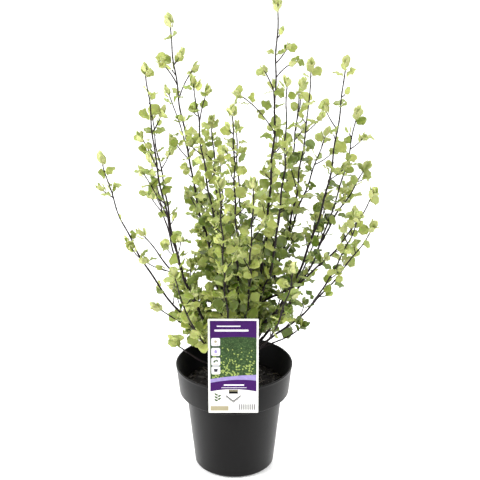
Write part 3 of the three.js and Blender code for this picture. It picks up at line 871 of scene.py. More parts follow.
def tube(pile, limb, first, last, rank, wiggle):
    """A stretch of a limb as a round stem with bark relief and a swelling at each node"""
    count = max(3, math.ceil((last - first) * limb.length / rank.step) + 1)
    points = []
    for row in range(count):
        share = mix(first, last, row / (count - 1))
        along = share * limb.length
        centre = limb.strayed(share, wiggle * rank.stray)
        swell = 1 + NODE_SWELL * max(0, math.cos(along / rank.node_gap * math.tau + limb.phase)) ** 8
        for turn in around(rank.sides):
            ridge = math.sin(turn * 3 + along / 9 + limb.phase) * math.sin(along / 5.3 + turn)
            ridge += 0.6 * math.sin(turn * 5 - along / 6.1)
            radius = (STEM_SLIM * limb.radius(share) + STEM_SKIN) * swell + rank.relief * ridge
            points.append((centre + limb.sideways(share, -turn) * radius) * MM)
    pile.add(points, ring_faces(count, rank.sides))


def trunk_relief(height, turn):
    """Ridges, furrows and a buttressed foot, in millimetres"""
    share = min(1, max(0, (height - SOIL_TOP) / (TRUNK_TOP - SOIL_TOP)))
    flare = max(0, 1 - share / FLARE_SHARE)
    ridge = math.sin(turn * 6 + height / 17) * 0.22 + math.sin(turn * 11 - height / 9) * 0.16
    ridge += 0.2 * math.sin(height / 2.1 + 2 * math.sin(turn * 2)) * max(0, math.sin(height / 13 + turn))
    buttress = flare * 1.5 * math.cos(turn * 5 + 0.6)
    return ridge, buttress


def build_trunk(settings):
    """The trunk with its flare and boughs, in bark relief"""
    bark = mottled(
        "dark_bark", shades(settings.bark, 0.7, 2.1), 0.012, (0.5, 0.75), 0.55, 0.0012,
        specular=0.15, stretch=(1, 1, 0.35),
    )
    pile = Pile()
    points = []
    for row in range(TRUNK_ROWS + 1):
        height = mix(SOIL_TOP - TRUNK_SUNK, TRUNK_TOP + TRUNK_CAP, row / TRUNK_ROWS)
        for turn in around(TRUNK_SIDES):
            ridge, buttress = trunk_relief(height, turn)
            radius = trunk_radius(min(height, TRUNK_TOP)) + ridge + buttress
            if height > TRUNK_TOP:
                radius *= TRUNK_CAP_SHARE
            points.append((trunk_point(height) + Vector((*on_circle(1, turn), 0)) * radius) * MM)
    pile.add(points, ring_faces(TRUNK_ROWS + 1, TRUNK_SIDES))
    boughs = []
    for index, (name, tip, foot, bow) in enumerate(WANDS):
        if name.startswith("spray"):
            continue
        wand = wand_limb(tip, foot, bow)
        wand.phase = index * WAND_PHASE
        tube(pile, wand, 0, BOUGH_LENGTH / wand.length, RANKS["bough"], settings.wiggle / MM)
        boughs.append(f"bough_{name}")
    piece = pile.build("trunk_and_boughs", [bark])
    place_on_plant(piece, "bark", "trunk", *boughs)


def build_twigs(settings, stems):
    """The wands, forks and twigs that carry the leaves"""
    bark = mottled(
        "young_bark", shades(settings.bark, 0.8, 2.4), 0.007, (0.42, 0.62), 0.4, 0.0008,
        specular=0.15, stretch=(1, 1, 0.4),
    )
    pile = Pile()
    for stem in stems:
        first = 0
        if stem.rank == "wand" and stem.limb.length > 2 * BOUGH_LENGTH:
            first = stem.first - FIRST_GROWTH / stem.limb.length
        tube(pile, stem.limb, first, 1 - BARE_TIP / stem.limb.length, RANKS[stem.rank], settings.wiggle / MM)
    piece = pile.build("crown_twigs", [bark])
    place_on_plant(piece, "bark", *[f"foliage_{name}" for name, *_ in WANDS])


# Leaves

def random_direction(draw):
    """An even random direction"""
    height = 2 * draw() - 1
    turn = math.tau * draw()
    flat = math.sqrt(max(0, 1 - height * height))
    return Vector((*on_circle(flat, turn), height))


def kind_for(place, outer, draw):
    """A spray's colour by a lightness that carries painted light: deeper low down and inside, as older leaves
    and painted shade; paler high up and outside, as younger leaves and painted light; and low down, paler on
    the left and darker on the right, as painted light and shade alone
    """
    low = max(0, 1 - (place.z - CROWN_FOOT) / LOW_ZONE)
    # Painted light and shade: low outer sprays are dealt paler colours on the left, where the key light
    # falls, and darker ones on the right
    painted_sun = max(-1, min(1, -place.x / PAINTED_SUN_REACH))
    # Painted shade and light beside real age: the lightness rises with height and towards the crown's outside
    light = (
        LIGHTNESS_BY_HEIGHT * (place.z - CROWN_FOOT) / CROWN_HEIGHT
        + (LIGHTNESS_OUTSIDE + LIGHTNESS_OUTSIDE * low) * outer
        + LIGHTNESS_UNEVEN * (draw() - 0.5) + LIGHTNESS_AT_FOOT
    )
    light += PAINTED_SUN_LIGHTNESS * low * outer * painted_sun
    return next(kind for kind, limit in KIND_LIMITS if light < limit)


def add_leaf(leaves, kind, root, along, facing, length, draw, slim=1, calm=1):
    """One leaf, if its tip has room. A slim one is narrower, and a calm one has a smoother edge."""
    if not has_room(root + along * length) or not has_room(root + along * (length / 2)):
        return
    x = along.normalized()
    y = facing.cross(x).normalized()
    leaves[kind].append({
        "root": root,
        "x": x,
        "y": y,
        "z": x.cross(y),
        "length": length,
        "width": length * slim * mix(0.74, 0.95, draw()),
        "fold": mix(0.02, 0.4, draw()),
        "curl": mix(-0.15, 0.3, draw()),
        "wave": mix(0.05, 0.14, draw()) * calm,
        "phase": math.tau * draw(),
        "lean": mix(-0.12, 0.12, draw()),
    })


def leaf_places(limb, first, every, draw):
    """Where leaves stand along a stem: the share of its length, and the turn of a pair's second leaf"""
    places = []
    for at in stations(limb, first, LEAF_LAST, every * PAIR_GAP, draw):
        places.append((at, 0))
        if draw() < PAIR_SHARE:
            places.append((min(0.97, at + PAIR_OFFSET * draw() / limb.length), math.pi))
    return places


def leaves_along(stem, settings, leaves, draw, wiggle, outer, kind):
    """Leaves along a stem by the golden angle, each one askew. Gives the last one's colour."""
    limb = stem.limb
    rank = RANKS[stem.rank]
    every = settings.spacing / MM * rank.leaf_gap
    for index, (at, opposite) in enumerate(leaf_places(limb, stem.first * 0.4, every, draw)):
        turn = index * GOLDEN_TURN + draw() * TURN_UNEVEN + opposite
        if opposite:
            turn -= GOLDEN_TURN
        side = limb.sideways(at, turn)
        tangent = limb.tangent(at)
        root = limb.strayed(at, wiggle) + side * limb.radius(at) * 0.8
        angle = mix(*LEAF_ANGLES, draw())
        along = tangent * math.cos(angle) + side * math.sin(angle)
        facing = tangent * math.sin(angle) - side * math.cos(angle)
        facing = facing * 0.75 + random_direction(draw) * 0.85 + UP * 0.15
        if stem.rank in ("wand", "fork") and index % 3 == 0:
            kind = kind_for(root, outer * at, draw)
        length = settings.length / MM * rank.leaf_size * mix(1.05, 0.86, at * at) * mix(*LEAF_SIZES, draw())
        add_leaf(leaves, kind, root, along, facing, length, draw)
    return kind


def leaves_at_tip(stem, leaves, draw, wiggle, outer, kind):
    """A cluster of slim upright leaves at a stem's tip, the palest ones high up and at the crown's edge"""
    limb = stem.limb
    rank = RANKS[stem.rank]
    foot = 1 - min(0.6, rank.tip_length * 1.2 / limb.length)
    top = 1 - 0.5 * rank.tip_length / limb.length
    high = limb.tip.z > TIP_KIND_HEIGHT or outer > TIP_KIND_OUTER
    for index in range(rank.tip_count):
        step = index / rank.tip_count
        at = mix(foot, top, step)
        side = limb.sideways(at, index * GOLDEN_TURN + draw())
        spread = mix(*TIP_SPREADS, step ** 0.7) + 0.12 * draw()
        along = limb.tangent(at) * math.cos(spread) + side * math.sin(spread)
        root = limb.strayed(at, wiggle) + side * limb.radius(at) * 0.7
        if high and stem.rank != "twiglet":
            tip_kind = "tip"
        else:
            tip_kind = "fresh_and_lit" if draw() < TIP_FRESH_SHARE else kind
        facing = side + random_direction(draw) * 0.35
        length = rank.tip_length * mix(0.9, 1.1, draw()) * mix(1, 0.8, step)
        add_leaf(leaves, tip_kind, root, along, facing, length, draw, TIP_SLIM, TIP_CALM)


def leaves_of(stem, settings, leaves, draw, wiggle):
    """All leaves of a stem: single or in pairs along it, and a cluster at its tip"""
    tip = stem.limb.tip
    outer = min(1, math.hypot(tip.x - CROWN_MIDDLE, tip.y) / CROWN_REACH)
    kind = kind_for(stem.limb.point(0.5) if stem.rank == "wand" else tip, outer, draw)
    kind = leaves_along(stem, settings, leaves, draw, wiggle, outer, kind)
    leaves_at_tip(stem, leaves, draw, wiggle, outer, kind)


def gathered(leaves, *keys):
    """The leaves' values by key, each as one array"""
    return [np.array([leaf[key] for leaf in leaves], dtype=float) for key in keys]


def leaf_points(leaves):
    """The points of every leaf: the two layers of its folded, curled and waved blade, then its stalk"""
    root, x, y, z = gathered(leaves, "root", "x", "y", "z")
    shape = gathered(leaves, "length", "width", "fold", "curl", "wave", "phase", "lean")
    length, width, fold, curl, wave, phase, lean = (value[:, None, None] for value in shape)
    rows = np.array(BLADE_ROWS)
    u = rows[:, 0][None, :, None]
    half = rows[:, 1][None, :, None]
    v = np.array(BLADE_COLUMNS)[None, None, :]
    crimp = np.sin(phase + 11.5 * u + 2.1 * v)
    edge = half * width / 2 * (1 + 0.08 * np.sin(2 * phase + 12.5 * u + 1.2 * v))
    across = edge * v + lean * length * u * (1 - u)
    along = length * (PETIOLE + (1 - PETIOLE) * (u - 0.05 * v * v * np.sin(np.pi * u) + 0.03 * crimp * v * v))
    lift = fold * edge * np.abs(v) - curl * length * u * u
    lift = lift + wave * length * crimp * v * v * np.sin(np.pi * np.clip(u, 0.08, 0.96))

    parts = []
    for offset in (BLADE_THICKNESS / 2, -BLADE_THICKNESS / 2):
        layer = (
            root[:, None, None, :]
            + along[..., None] * x[:, None, None, :]
            + across[..., None] * y[:, None, None, :]
            + (lift + offset)[..., None] * z[:, None, None, :]
        )
        parts.append(layer.reshape(len(leaves), -1, 3))
    stalk = []
    for share, thick in ((0, PETIOLE_FOOT_RADIUS), (PETIOLE * 1.05, PETIOLE_TOP_RADIUS)):
        for turn in around(3):
            outward = math.cos(turn) * y + math.sin(turn) * z
            stalk.append(root + share * length[:, :, 0] * x + thick * outward)
    parts.append(np.stack(stalk, axis=1))
    return np.concatenate(parts, axis=1)


def leaf_faces():
    """The faces of one leaf, and whether each is on its upper side, its underside or its edge"""
    row_count, column_count = len(BLADE_ROWS), len(BLADE_COLUMNS)
    blade = row_count * column_count

    def corner(row, column, layer):
        return layer * blade + row * column_count + column

    faces = []
    kinds = []
    for row in range(row_count - 1):
        for column in range(column_count - 1):
            corners = [(row, column), (row + 1, column), (row + 1, column + 1), (row, column + 1)]
            faces.append([corner(*place, 0) for place in corners])
            faces.append([corner(*place, 1) for place in reversed(corners)])
            kinds += [UPPER, UNDER]
    rim = [(row, 0) for row in range(row_count)]
    rim += [(row_count - 1, column) for column in range(1, column_count)]
    rim += [(row, column_count - 1) for row in range(row_count - 2, -1, -1)]
    rim += [(0, column) for column in range(column_count - 2, 0, -1)]
    for a, b in zip(rim, rim[1:] + rim[:1]):
        faces.append([corner(*b, 0), corner(*a, 0), corner(*a, 1), corner(*b, 1)])
        kinds.append(EDGE)
    for a, b in ((0, 1), (1, 2), (2, 0)):
        faces.append([2 * blade + index for index in (a, b, b + 3, a + 3)])
        kinds.append(UNDER)
    return np.array(faces), np.array(kinds)


def leaf_mesh(name, leaves, materials):
    """All leaves of one kind as one mesh: each a thin closed blade on a short stalk"""
    points = leaf_points(leaves)
    faces, kinds = leaf_faces()
    starts = np.arange(len(leaves)) * points.shape[1]
    faces = (faces[None] + starts[:, None, None]).reshape(-1, 4)
    kinds = np.tile(kinds, len(leaves))
    points = points.reshape(-1, 3) * MM
    slots = np.minimum(kinds, UNDER)
    return build_object(name, points.tolist(), faces.tolist(), materials, slots, kinds == EDGE)


def build_leaves(settings, wood, stems):
    """All leaves, one piece for each colour"""
    leaves = {kind: [] for kind in LEAF_KINDS}
    draw = random_from(SEED * 7 + 1)
    for stem in stems:
        leaves_of(stem, settings, leaves, draw, wood.wiggle / MM * RANKS[stem.rank].stray)
    for kind, kept in leaves.items():
        colour = tuple(getattr(settings, kind))
        upper = leaf_material(f"leaf_{kind}", colour, (0.34, 0.5))
        channels = zip(shade(colour, 1.12), UNDERSIDE_GREY)
        paler = tuple(mix(channel, grey, UNDERSIDE_SHARE) for channel, grey in channels)
        under = leaf_material(f"leaf_{kind}_underside", paler, (0.5, 0.7))
        lots = math.ceil(len(kept) / LEAVES_A_PIECE)
        for lot in range(lots):
            piece = leaf_mesh(f"leaves_{kind}_{lot + 1}", kept[lot::lots], [upper, under])
            place_on_plant(piece, "foliage")


# Pot

def pot_radius(settings, height):
    """The pot's outer radius at a height: tapered wall, ledge and rim band"""
    band_foot = settings.height - settings.band
    wall_top = band_foot - LEDGE_HEIGHT
    band_radius = settings.rim_radius - BAND_INSET
    wall_radius = band_radius - LEDGE_WIDTH
    if height >= band_foot:
        return mix(band_radius, settings.rim_radius, (height - band_foot) / settings.band)
    if height > wall_top:
        return mix(wall_radius, band_radius, (height - wall_top) / LEDGE_HEIGHT)
    return mix(settings.foot_radius, wall_radius, height / wall_top)


def pot_profile(settings):
    """The pot's section as (radius, height): from its underside up the wall, over the rim and down inside"""
    def outer(height, inset=0.0):
        return pot_radius(settings, height) - inset, height

    wall = settings.wall
    top = settings.height
    band_foot = top - settings.band
    wall_top = band_foot - LEDGE_HEIGHT
    return [
        (0, UNDERSIDE_LIFT),
        (UNDERSIDE_REACH, UNDERSIDE_LIFT),
        (UNDERSIDE_REACH + 0.004, 0),
        outer(0, 0.004),
        outer(0.004),
        outer(wall_top),
        outer(band_foot, 0.0002),
        outer(top - 0.004),
        (outer(top)[0] + 0.0004, top - 0.0016),
        outer(top, -0.0002),
        outer(top, wall),
        outer(band_foot, wall),
        outer(wall_top, wall),
        outer(POT_FLOOR, wall),
        (0, POT_FLOOR),
    ]


def cut_drain_holes(shell, plastic):
    """Cut a ring of round drain holes through the pot's floor"""
    holes = Pile()
    for index in range(DRAIN_HOLES):
        turn = index / DRAIN_HOLES * math.tau + DRAIN_TURN
        centre = Vector((*on_circle(DRAIN_RING, turn), 0))
        ring = [
            (centre.x + DRAIN_RADIUS * math.cos(spin), centre.y + DRAIN_RADIUS * math.sin(spin), z)
            for z in DRAIN_HEIGHTS for spin in around(DRAIN_SIDES)
        ]
        holes.add(ring, ring_faces(2, DRAIN_SIDES))
    cutter = holes.build("drain_holes", [plastic])
    cut = shell.modifiers.new("drain", "BOOLEAN")
    cut.operation = "DIFFERENCE"
    cut.object = cutter
    graph = bpy.context.evaluated_depsgraph_get()
    mesh = bpy.data.meshes.new_from_object(shell.evaluated_get(graph))
    shell.modifiers.clear()
    shell.data = mesh
    mesh.shade_smooth()
    mesh.set_sharp_from_angle(angle=math.radians(SHARP_ANGLE))
    bpy.data.objects.remove(cutter)


def build_pot(settings):
    """The pot: tapered wall, ledge, rim band with a thin lip, and a floor with drain holes"""
    plastic = mottled(
        "pot_plastic", shades(settings.colour, 0.85, 1.35), 0.02, (0.34, 0.43), 0.12, 0.0011,
        specular=0.12, stretch=(1, 1, 0.25),
    )
    tune(plastic, {"Sheen Weight": POT_SHEEN, "Sheen Roughness": POT_SHEEN_SPREAD})
    points, faces = lathe(rounded(pot_profile(settings), POT_CORNER), POT_SIDES)
    shell = build_object("pot_shell", points, faces, [plastic])
    cut_drain_holes(shell, plastic)
    place_on_plant(shell, "pot", "pot")


# Potting mix

def mix_height(x, y):
    """Uneven surface of the mix, in metres about its level, lower towards the wall"""
    height = 0.0016 * math.sin(x * 95 + 1.1) * math.sin(y * 83 + 0.4)
    ripple = 0.001 * math.sin(x * 240 + 3 * math.sin(y * 110))
    height += ripple + 0.0008 * math.sin(y * 310 + 2 * math.sin(x * 190))
    reach = math.hypot(x, y)
    return height - 0.0035 * max(0, (reach - 0.07) / 0.02) ** 1.5


def on_mix(settings, x, y, lift):
    """A place a little over the surface of the mix"""
    return Vector((x, y, settings.level + mix_height(x, y) + lift))


def mix_body(settings, pot, limit, chaff):
    """Points and faces of the filling: a plain foot, and rings of crumbs from the wall to the middle"""
    profile = [
        (0, MIX_FOOT),
        (pot_radius(pot, MIX_FOOT) - pot.wall - 0.0015, MIX_FOOT),
        (pot_radius(pot, MIX_SHOULDER) - pot.wall - MIX_FIT, MIX_SHOULDER),
        (limit, settings.level - 0.005),
    ]
    points, faces = lathe(profile, MIX_SIDES)
    edge = len(points) - MIX_SIDES
    for ring in range(MIX_RINGS - 1, 0, -1):
        reach = limit * ring / MIX_RINGS
        start = len(points)
        for turn in around(MIX_SIDES):
            x, y = on_circle(reach, turn)
            crumb = chaff.uniform(-0.0007, 0.0009)
            points.append((x, y, settings.level + mix_height(x, y) + crumb))
        for side in range(MIX_SIDES):
            after = (side + 1) % MIX_SIDES
            faces.append((edge + side, edge + after, start + after, start + side))
        edge = start
    points.append((0, 0, settings.level))
    faces += [(edge + side, edge + (side + 1) % MIX_SIDES, len(points) - 1) for side in range(MIX_SIDES)]
    return points, faces


def add_chips(pile, settings, limit, chaff):
    """Flakes of bark, with a speck of grit for every few of them"""
    for index in range(CHIP_COUNT):
        reach = limit * CHIP_REACH * math.sqrt(chaff.random())
        turn = math.tau * chaff.random()
        x, y = on_circle(reach, turn)
        if math.hypot(x, y) < TRUNK_CLEAR:
            continue
        speck = index % SPECK_EVERY == 0
        long = chaff.uniform(0.0011, 0.002) if speck else settings.chip * chaff.uniform(0.3, 1)
        wide = long * chaff.uniform(0.35, 0.7)
        thick = long * (chaff.uniform(0.5, 0.8) if speck else chaff.uniform(0.1, 0.22))
        lean = Vector((chaff.uniform(-0.5, 0.5), chaff.uniform(-0.5, 0.5), 1)).normalized()
        ahead = Vector((*on_circle(1, 7 * turn + index), 0))
        side = lean.cross(ahead).normalized()
        ahead = side.cross(lean)
        centre = on_mix(settings, x, y, thick * 0.3)
        ring = []
        for level in (-1, 1):
            for spin in around(CHIP_SIDES):
                stretch = chaff.uniform(0.75, 1.1)
                ring.append(
                    centre
                    + ahead * (math.cos(spin) * long / 2 * stretch)
                    + side * (math.sin(spin) * wide / 2 * stretch)
                    + lean * (level * thick / 2 * chaff.uniform(0.7, 1.1))
                )
        pile.add(ring, ring_faces(2, CHIP_SIDES), 1 if speck else 0)


def add_roots(pile, settings, limit, chaff):
    """A few fine roots that wander over the mix and end at the wall"""
    for _ in range(ROOT_COUNT):
        turn = math.tau * chaff.random()
        reach = limit * ROOT_REACH * math.sqrt(chaff.random())
        x, y = on_circle(reach, turn)
        heading = math.tau * chaff.random()
        size = chaff.uniform(0.008, 0.024)
        points = []
        for step in range(ROOT_STEPS + 1):
            x += math.cos(heading) * size / ROOT_STEPS
            y += math.sin(heading) * size / ROOT_STEPS
            heading += chaff.uniform(-0.5, 0.5)
            if math.hypot(x, y) > limit * CHIP_REACH:
                break
            centre = on_mix(settings, x, y, ROOT_LIFT + ROOT_LIFT * math.sin(step / ROOT_STEPS * math.pi))
            across = Vector((-math.sin(heading), math.cos(heading), 0))
            for spin in around(ROOT_SIDES):
                points.append(centre + (across * math.cos(spin) + UP * math.sin(spin)) * ROOT_RADIUS)
        rings = len(points) // ROOT_SIDES
        if rings >= 3:
            pile.add(points, ring_faces(rings, ROOT_SIDES), 2)


def build_mix(settings, pot):
    """The potting mix: an uneven crumbly top with bark chips, grit and a few roots"""
    earth = mottled(
        "potting_mix", shades(settings.colour, 0.5, 2.6), 0.006, (0.75, 0.95), 0.9, 0.0025, specular=0.2
    )
    bark = mottled("bark_chips", CHIP_COLOURS, 0.008, (0.6, 0.85), 0.6, 0.001)
    grit = mottled("pale_grit", GRIT_COLOURS, 0.003, (0.6, 0.8), 0.4, 0.0006)
    root = mottled("pale_roots", ROOT_COLOURS, 0.004, (0.5, 0.7), 0.3, 0.0006)
    chaff = random.Random(SEED)
    limit = pot_radius(pot, settings.level) - pot.wall - MIX_FIT
    body = build_object("potting_mix_body", *mix_body(settings, pot, limit, chaff), [earth])
    place_on_plant(body, "potting_mix", "potting_mix")
    chips = Pile()
    add_chips(chips, settings, limit, chaff)
    add_roots(chips, settings, limit, chaff)
    place_on_plant(chips.build("mix_chips", [bark, grit, root], flat=True), "potting_mix")


# Label

def box_outline(left, bottom, right, top):
    return [(left, bottom), (right, bottom), (right, top), (left, top)]


def rounded_outline(left, bottom, right, top, corner, steps=4):
    """A box outline with rounded corners"""
    outline = []
    for x, z, start in (
        (right - corner, bottom + corner, -0.5),
        (right - corner, top - corner, 0),
        (left + corner, top - corner, 0.5),
        (left + corner, bottom + corner, 1),
    ):
        for step in range(steps + 1):
            across, rise = on_circle(corner, (start + step / steps / 2) * math.pi)
            outline.append((x + across, z + rise))
    return outline


def oval(x, z, long, wide, turn, sides=12):
    """A pointed oval leaf outline about its centre"""
    outline = []
    for spin in around(sides):
        a = long / 2 * math.cos(spin)
        b = wide / 2 * math.sin(spin) * (1 - 0.25 * math.cos(spin))
        outline.append((
            x + a * math.cos(turn) - b * math.sin(turn),
            z + a * math.sin(turn) + b * math.cos(turn),
        ))
    return outline


def wave_band(left, right, bottoms, tops, steps=14):
    """A band between two curves, each given as start, middle and end heights"""
    def height(curve, share):
        return mix(mix(curve[0], curve[1], share), mix(curve[1], curve[2], share), share)

    shares = [step / steps for step in range(steps + 1)]
    lower = [(mix(left, right, share), height(bottoms, share)) for share in shares]
    upper = [(mix(left, right, share), height(tops, share)) for share in reversed(shares)]
    return lower + upper


def label_edges(settings):
    """Left, foot, right and top of the label"""
    half = settings.width / MM / 2
    return LABEL_CENTRE - half, LABEL_FOOT, LABEL_CENTRE + half, LABEL_FOOT + settings.height / MM


def build_label_sheet(settings):
    """The plastic sheet with its slot and chevron cut out, and the tongue folded back over the rim"""
    finish = mottled(
        "label_sheet", shades(settings.sheet, 0.97), 0.03, (0.3, 0.4), 0.05, 0.004, specular=0.45
    )
    outline = rounded_outline(*label_edges(settings), LABEL_CORNER)
    slot = box_outline(LABEL_CENTRE - SLOT_HALF, SLOT_FOOT, LABEL_CENTRE + SLOT_HALF, SLOT_TOP)
    chevron = [(LABEL_CENTRE + x, z) for x, z in CHEVRON_CUT]
    points, faces = plate([outline, slot, chevron], SHEET_FRONT, SHEET_BACK)
    sheet = Pile()
    sheet.add([Vector(point) * MM for point in points], faces)
    path = rounded(TONGUE_SPINE, TONGUE_BEND, 8)
    ribbon = []
    for index, (y, z) in enumerate(path):
        before = Vector(path[max(0, index - 1)])
        after = Vector(path[min(len(path) - 1, index + 1)])
        ahead = (after - before).normalized()
        normal = Vector((-ahead.y, ahead.x)) * TONGUE_HALF_THICKNESS
        half = TONGUE_HALF if index < len(path) - 1 else TONGUE_END_HALF
        for x, sign in ((-half, 1), (half, 1), (half, -1), (-half, -1)):
            ribbon.append(Vector((LABEL_CENTRE + x, y + normal.x * sign, z + normal.y * sign)) * MM)
    sheet.add(ribbon, ring_faces(len(path), 4))
    place_on_plant(sheet.build("label_sheet", [finish], flat=True), "label", "label")


def ink(name, colour, spread=0.12):
    """A dull printing ink"""
    colours = shades(colour, 1 - spread, 1 + spread)
    return mottled(name, colours, 0.006, (0.4, 0.5), 0.04, 0.002, specular=0.12)


class LabelPrintAndShadow:
    """The generic print, with painted shadow lines along the chevron cut: thin plates of ink on the sheet,
    one layer over the other
    """

    def __init__(self, settings):
        self.inks = {
            "band": ink("print_violet", settings.band),
            "lilac": ink("print_lilac", (0.3, 0.25, 0.5)),
            "panel": ink("print_deep_green", settings.panel, 0.35),
            "leaf": ink("print_leaf_green", (0.056, 0.098, 0.034), 0.3),
            "bright": ink("print_bright_green", (0.29, 0.37, 0.1), 0.25),
            "pale": ink("print_pale", (0.72, 0.7, 0.75), 0.04),
            # The dark ink prints the tiles' pot and the strokes, and paints the shadow along the chevron cut
            "dark": ink("print_dark_and_painted_shadow", (0.04, 0.04, 0.045), 0.1),
            "tan": ink("print_tan", (0.36, 0.32, 0.2), 0.06),
        }
        self.pile = Pile()
        left, self.foot, right, _ = label_edges(settings)
        self.left, self.right = left + LABEL_BORDER, right - LABEL_BORDER

    def add(self, outline, name, layer, behind=False):
        lift = INK_LIFT * (layer + 1)
        if behind:
            points, faces = plate([outline], SHEET_BACK + INK_GAP, SHEET_BACK + lift)
        else:
            points, faces = plate([outline], SHEET_FRONT - lift, SHEET_FRONT - INK_GAP)
        self.pile.add([Vector(point) * MM for point in points], faces, list(self.inks).index(name))

    def wave(self, bottoms, tops, name, layer):
        """A band from edge to edge between two curves of heights over the foot"""
        heights = [[self.foot + height for height in curve] for curve in (bottoms, tops)]
        self.add(wave_band(self.left, self.right, *heights), name, layer)

    def leafy_panel(self):
        """A green panel scattered with leaves, larger and brighter towards its foot"""
        foot, top = self.foot + PANEL_FOOT, self.foot + PANEL_TOP
        self.add(box_outline(self.left, foot - 4, self.right, top), "panel", 0)
        chaff = random.Random(SEED + 5)
        for index in range(PANEL_ROWS * PANEL_COLUMNS):
            row, column = divmod(index, PANEL_COLUMNS)
            x = self.left + 3.5 + column * 3.5 + chaff.uniform(-1.6, 1.6) + (row % 2) * 1.6
            z = foot + 3 + row * 3.2 + chaff.uniform(-1.5, 1.5)
            if x > self.right - 3 or z > top - 6 or chaff.random() < 0.1:
                continue
            near = (z - foot) / (top - foot)
            bright = chaff.random() > 0.35 + near * 0.8
            size = mix(4.2, 2.4, near) * chaff.uniform(0.8, 1.2)
            layer = (1.8 if bright else 1) + 0.7 * index / (PANEL_ROWS * PANEL_COLUMNS)
            outline = oval(x, z, size, size * 0.6, chaff.uniform(0, math.pi), 9)
            self.add(outline, "bright" if bright else "leaf", layer)

    def bands(self):
        """Violet and lilac bands above and below the panel, with plain pale bars, and painted shadow lines
        along both sides of the chevron's cut
        """
        self.wave((137, 143, 139), (169.6, 169.6, 169.6), "band", 3)
        self.wave((52, 66, 60), (63, 70, 71), "lilac", 3)
        self.wave((40, 48.4, 40), (56, 65, 60), "band", 4)
        # Painted shadow: dark lines along both sides of the chevron cut
        for low, high in CHEVRON_SHADOW_LINES:
            line = [(LABEL_CENTRE + x, z + low) for x, z in CHEVRON_FOLD]
            self.add(line + [(x, z + high - low) for x, z in reversed(line)], "dark", 0)
        for x0, x1, z0, z1 in PALE_BARS:
            bar = (LABEL_CENTRE + x0, self.foot + z0, LABEL_CENTRE + x1, self.foot + z1)
            self.add(rounded_outline(*bar, (z1 - z0) * 0.45), "pale", 5)

    def tiles(self):
        """Four pale tiles with a plain sun, drop, leaf pair and pot"""
        right = self.left + TILE_RIGHT
        x = right - TILE_SIDE / 2
        for index, height in enumerate(TILE_HEIGHTS):
            z = self.foot + height
            level = z + 8
            self.add(rounded_outline(right - TILE_SIDE, z, right, z + TILE_SIDE, 2.6), "pale", 6)
            if index == 0:
                self.add(oval(x, level, 4.6, 4.6, 0, 16), "tan", 7)
                for turn in around(8):
                    across, rise = on_circle(4.2, turn)
                    self.add(oval(x + across, level + rise, 1.8, 0.7, turn, 6), "tan", 7)
            elif index == 1:
                self.add(oval(x, level, 7, 4.4, math.pi / 2, 16), "lilac", 7)
            elif index == 2:
                self.add(oval(x - 1.8, level, 6, 3.2, 0.9), "leaf", 7)
                self.add(oval(x + 2, level + 1, 5, 2.8, 2.1), "leaf", 7)
            else:
                pot = [(-3.4, 2), (-2.4, -3.4), (2.4, -3.4), (3.4, 2)]
                self.add([(x + side, level + rise) for side, rise in pot], "dark", 7)
            self.add(rounded_outline(x - 4.6, z + 1.7, x + 4.6, z + 2.6, 0.4), "tan", 7)

    def foot_marks(self):
        """A leaf sprig, a row of plain strokes and a tan bar under the panel"""
        x = LABEL_CENTRE - 26
        self.add(box_outline(x - 0.35, self.foot + 21, x + 0.35, self.foot + 35), "leaf", 0)
        for index in range(5):
            z = self.foot + 22.5 + index * 2.7
            sign = 1 if index % 2 else -1
            self.add(oval(x + sign * 3.1, z + 1.2, 6, 3.3, math.pi / 2 - sign * 0.95), "leaf", 1)
        for index in range(9):
            x = self.right - 29 + index * 3.2
            self.add(box_outline(x, self.foot + 5.5, x + 1.5, self.foot + 16), "dark", 0)
        self.add(box_outline(self.left, self.foot + 4, self.left + 30, self.foot + 12.5), "tan", 0)

    def back_lines(self):
        """Plain tan lines on the back"""
        for index, height in enumerate(range(40, 164, 6)):
            end = self.right - (3 if index % 4 else 22)
            z = self.foot + height
            self.add(box_outline(self.left + 2, z, end, z + 1.5), "tan", 0, behind=True)


def build_label(settings):
    """The hanging label: a plastic sheet with a tongue over the rim, a generic print and painted shadow along
    its chevron cut
    """
    build_label_sheet(settings)
    face = LabelPrintAndShadow(settings)
    face.leafy_panel()
    face.bands()
    face.tiles()
    face.foot_marks()
    face.back_lines()
    place_on_plant(face.pile.build("label_print_and_painted_shadow", face.inks.values(), flat=True), "label")


# Stage

def add_light(name, place, size, power, aim):
    lamp = bpy.data.lights.new(name, "AREA")
    lamp.shape = "DISK"
    lamp.size = size
    lamp.energy = power
    made = bpy.data.objects.new(name, lamp)
    made.location = place
    made.rotation_mode = "QUATERNION"
    made.rotation_quaternion = (Vector(place) - Vector(aim)).to_track_quat("Z", "Y")
    bpy.context.scene.collection.objects.link(made)


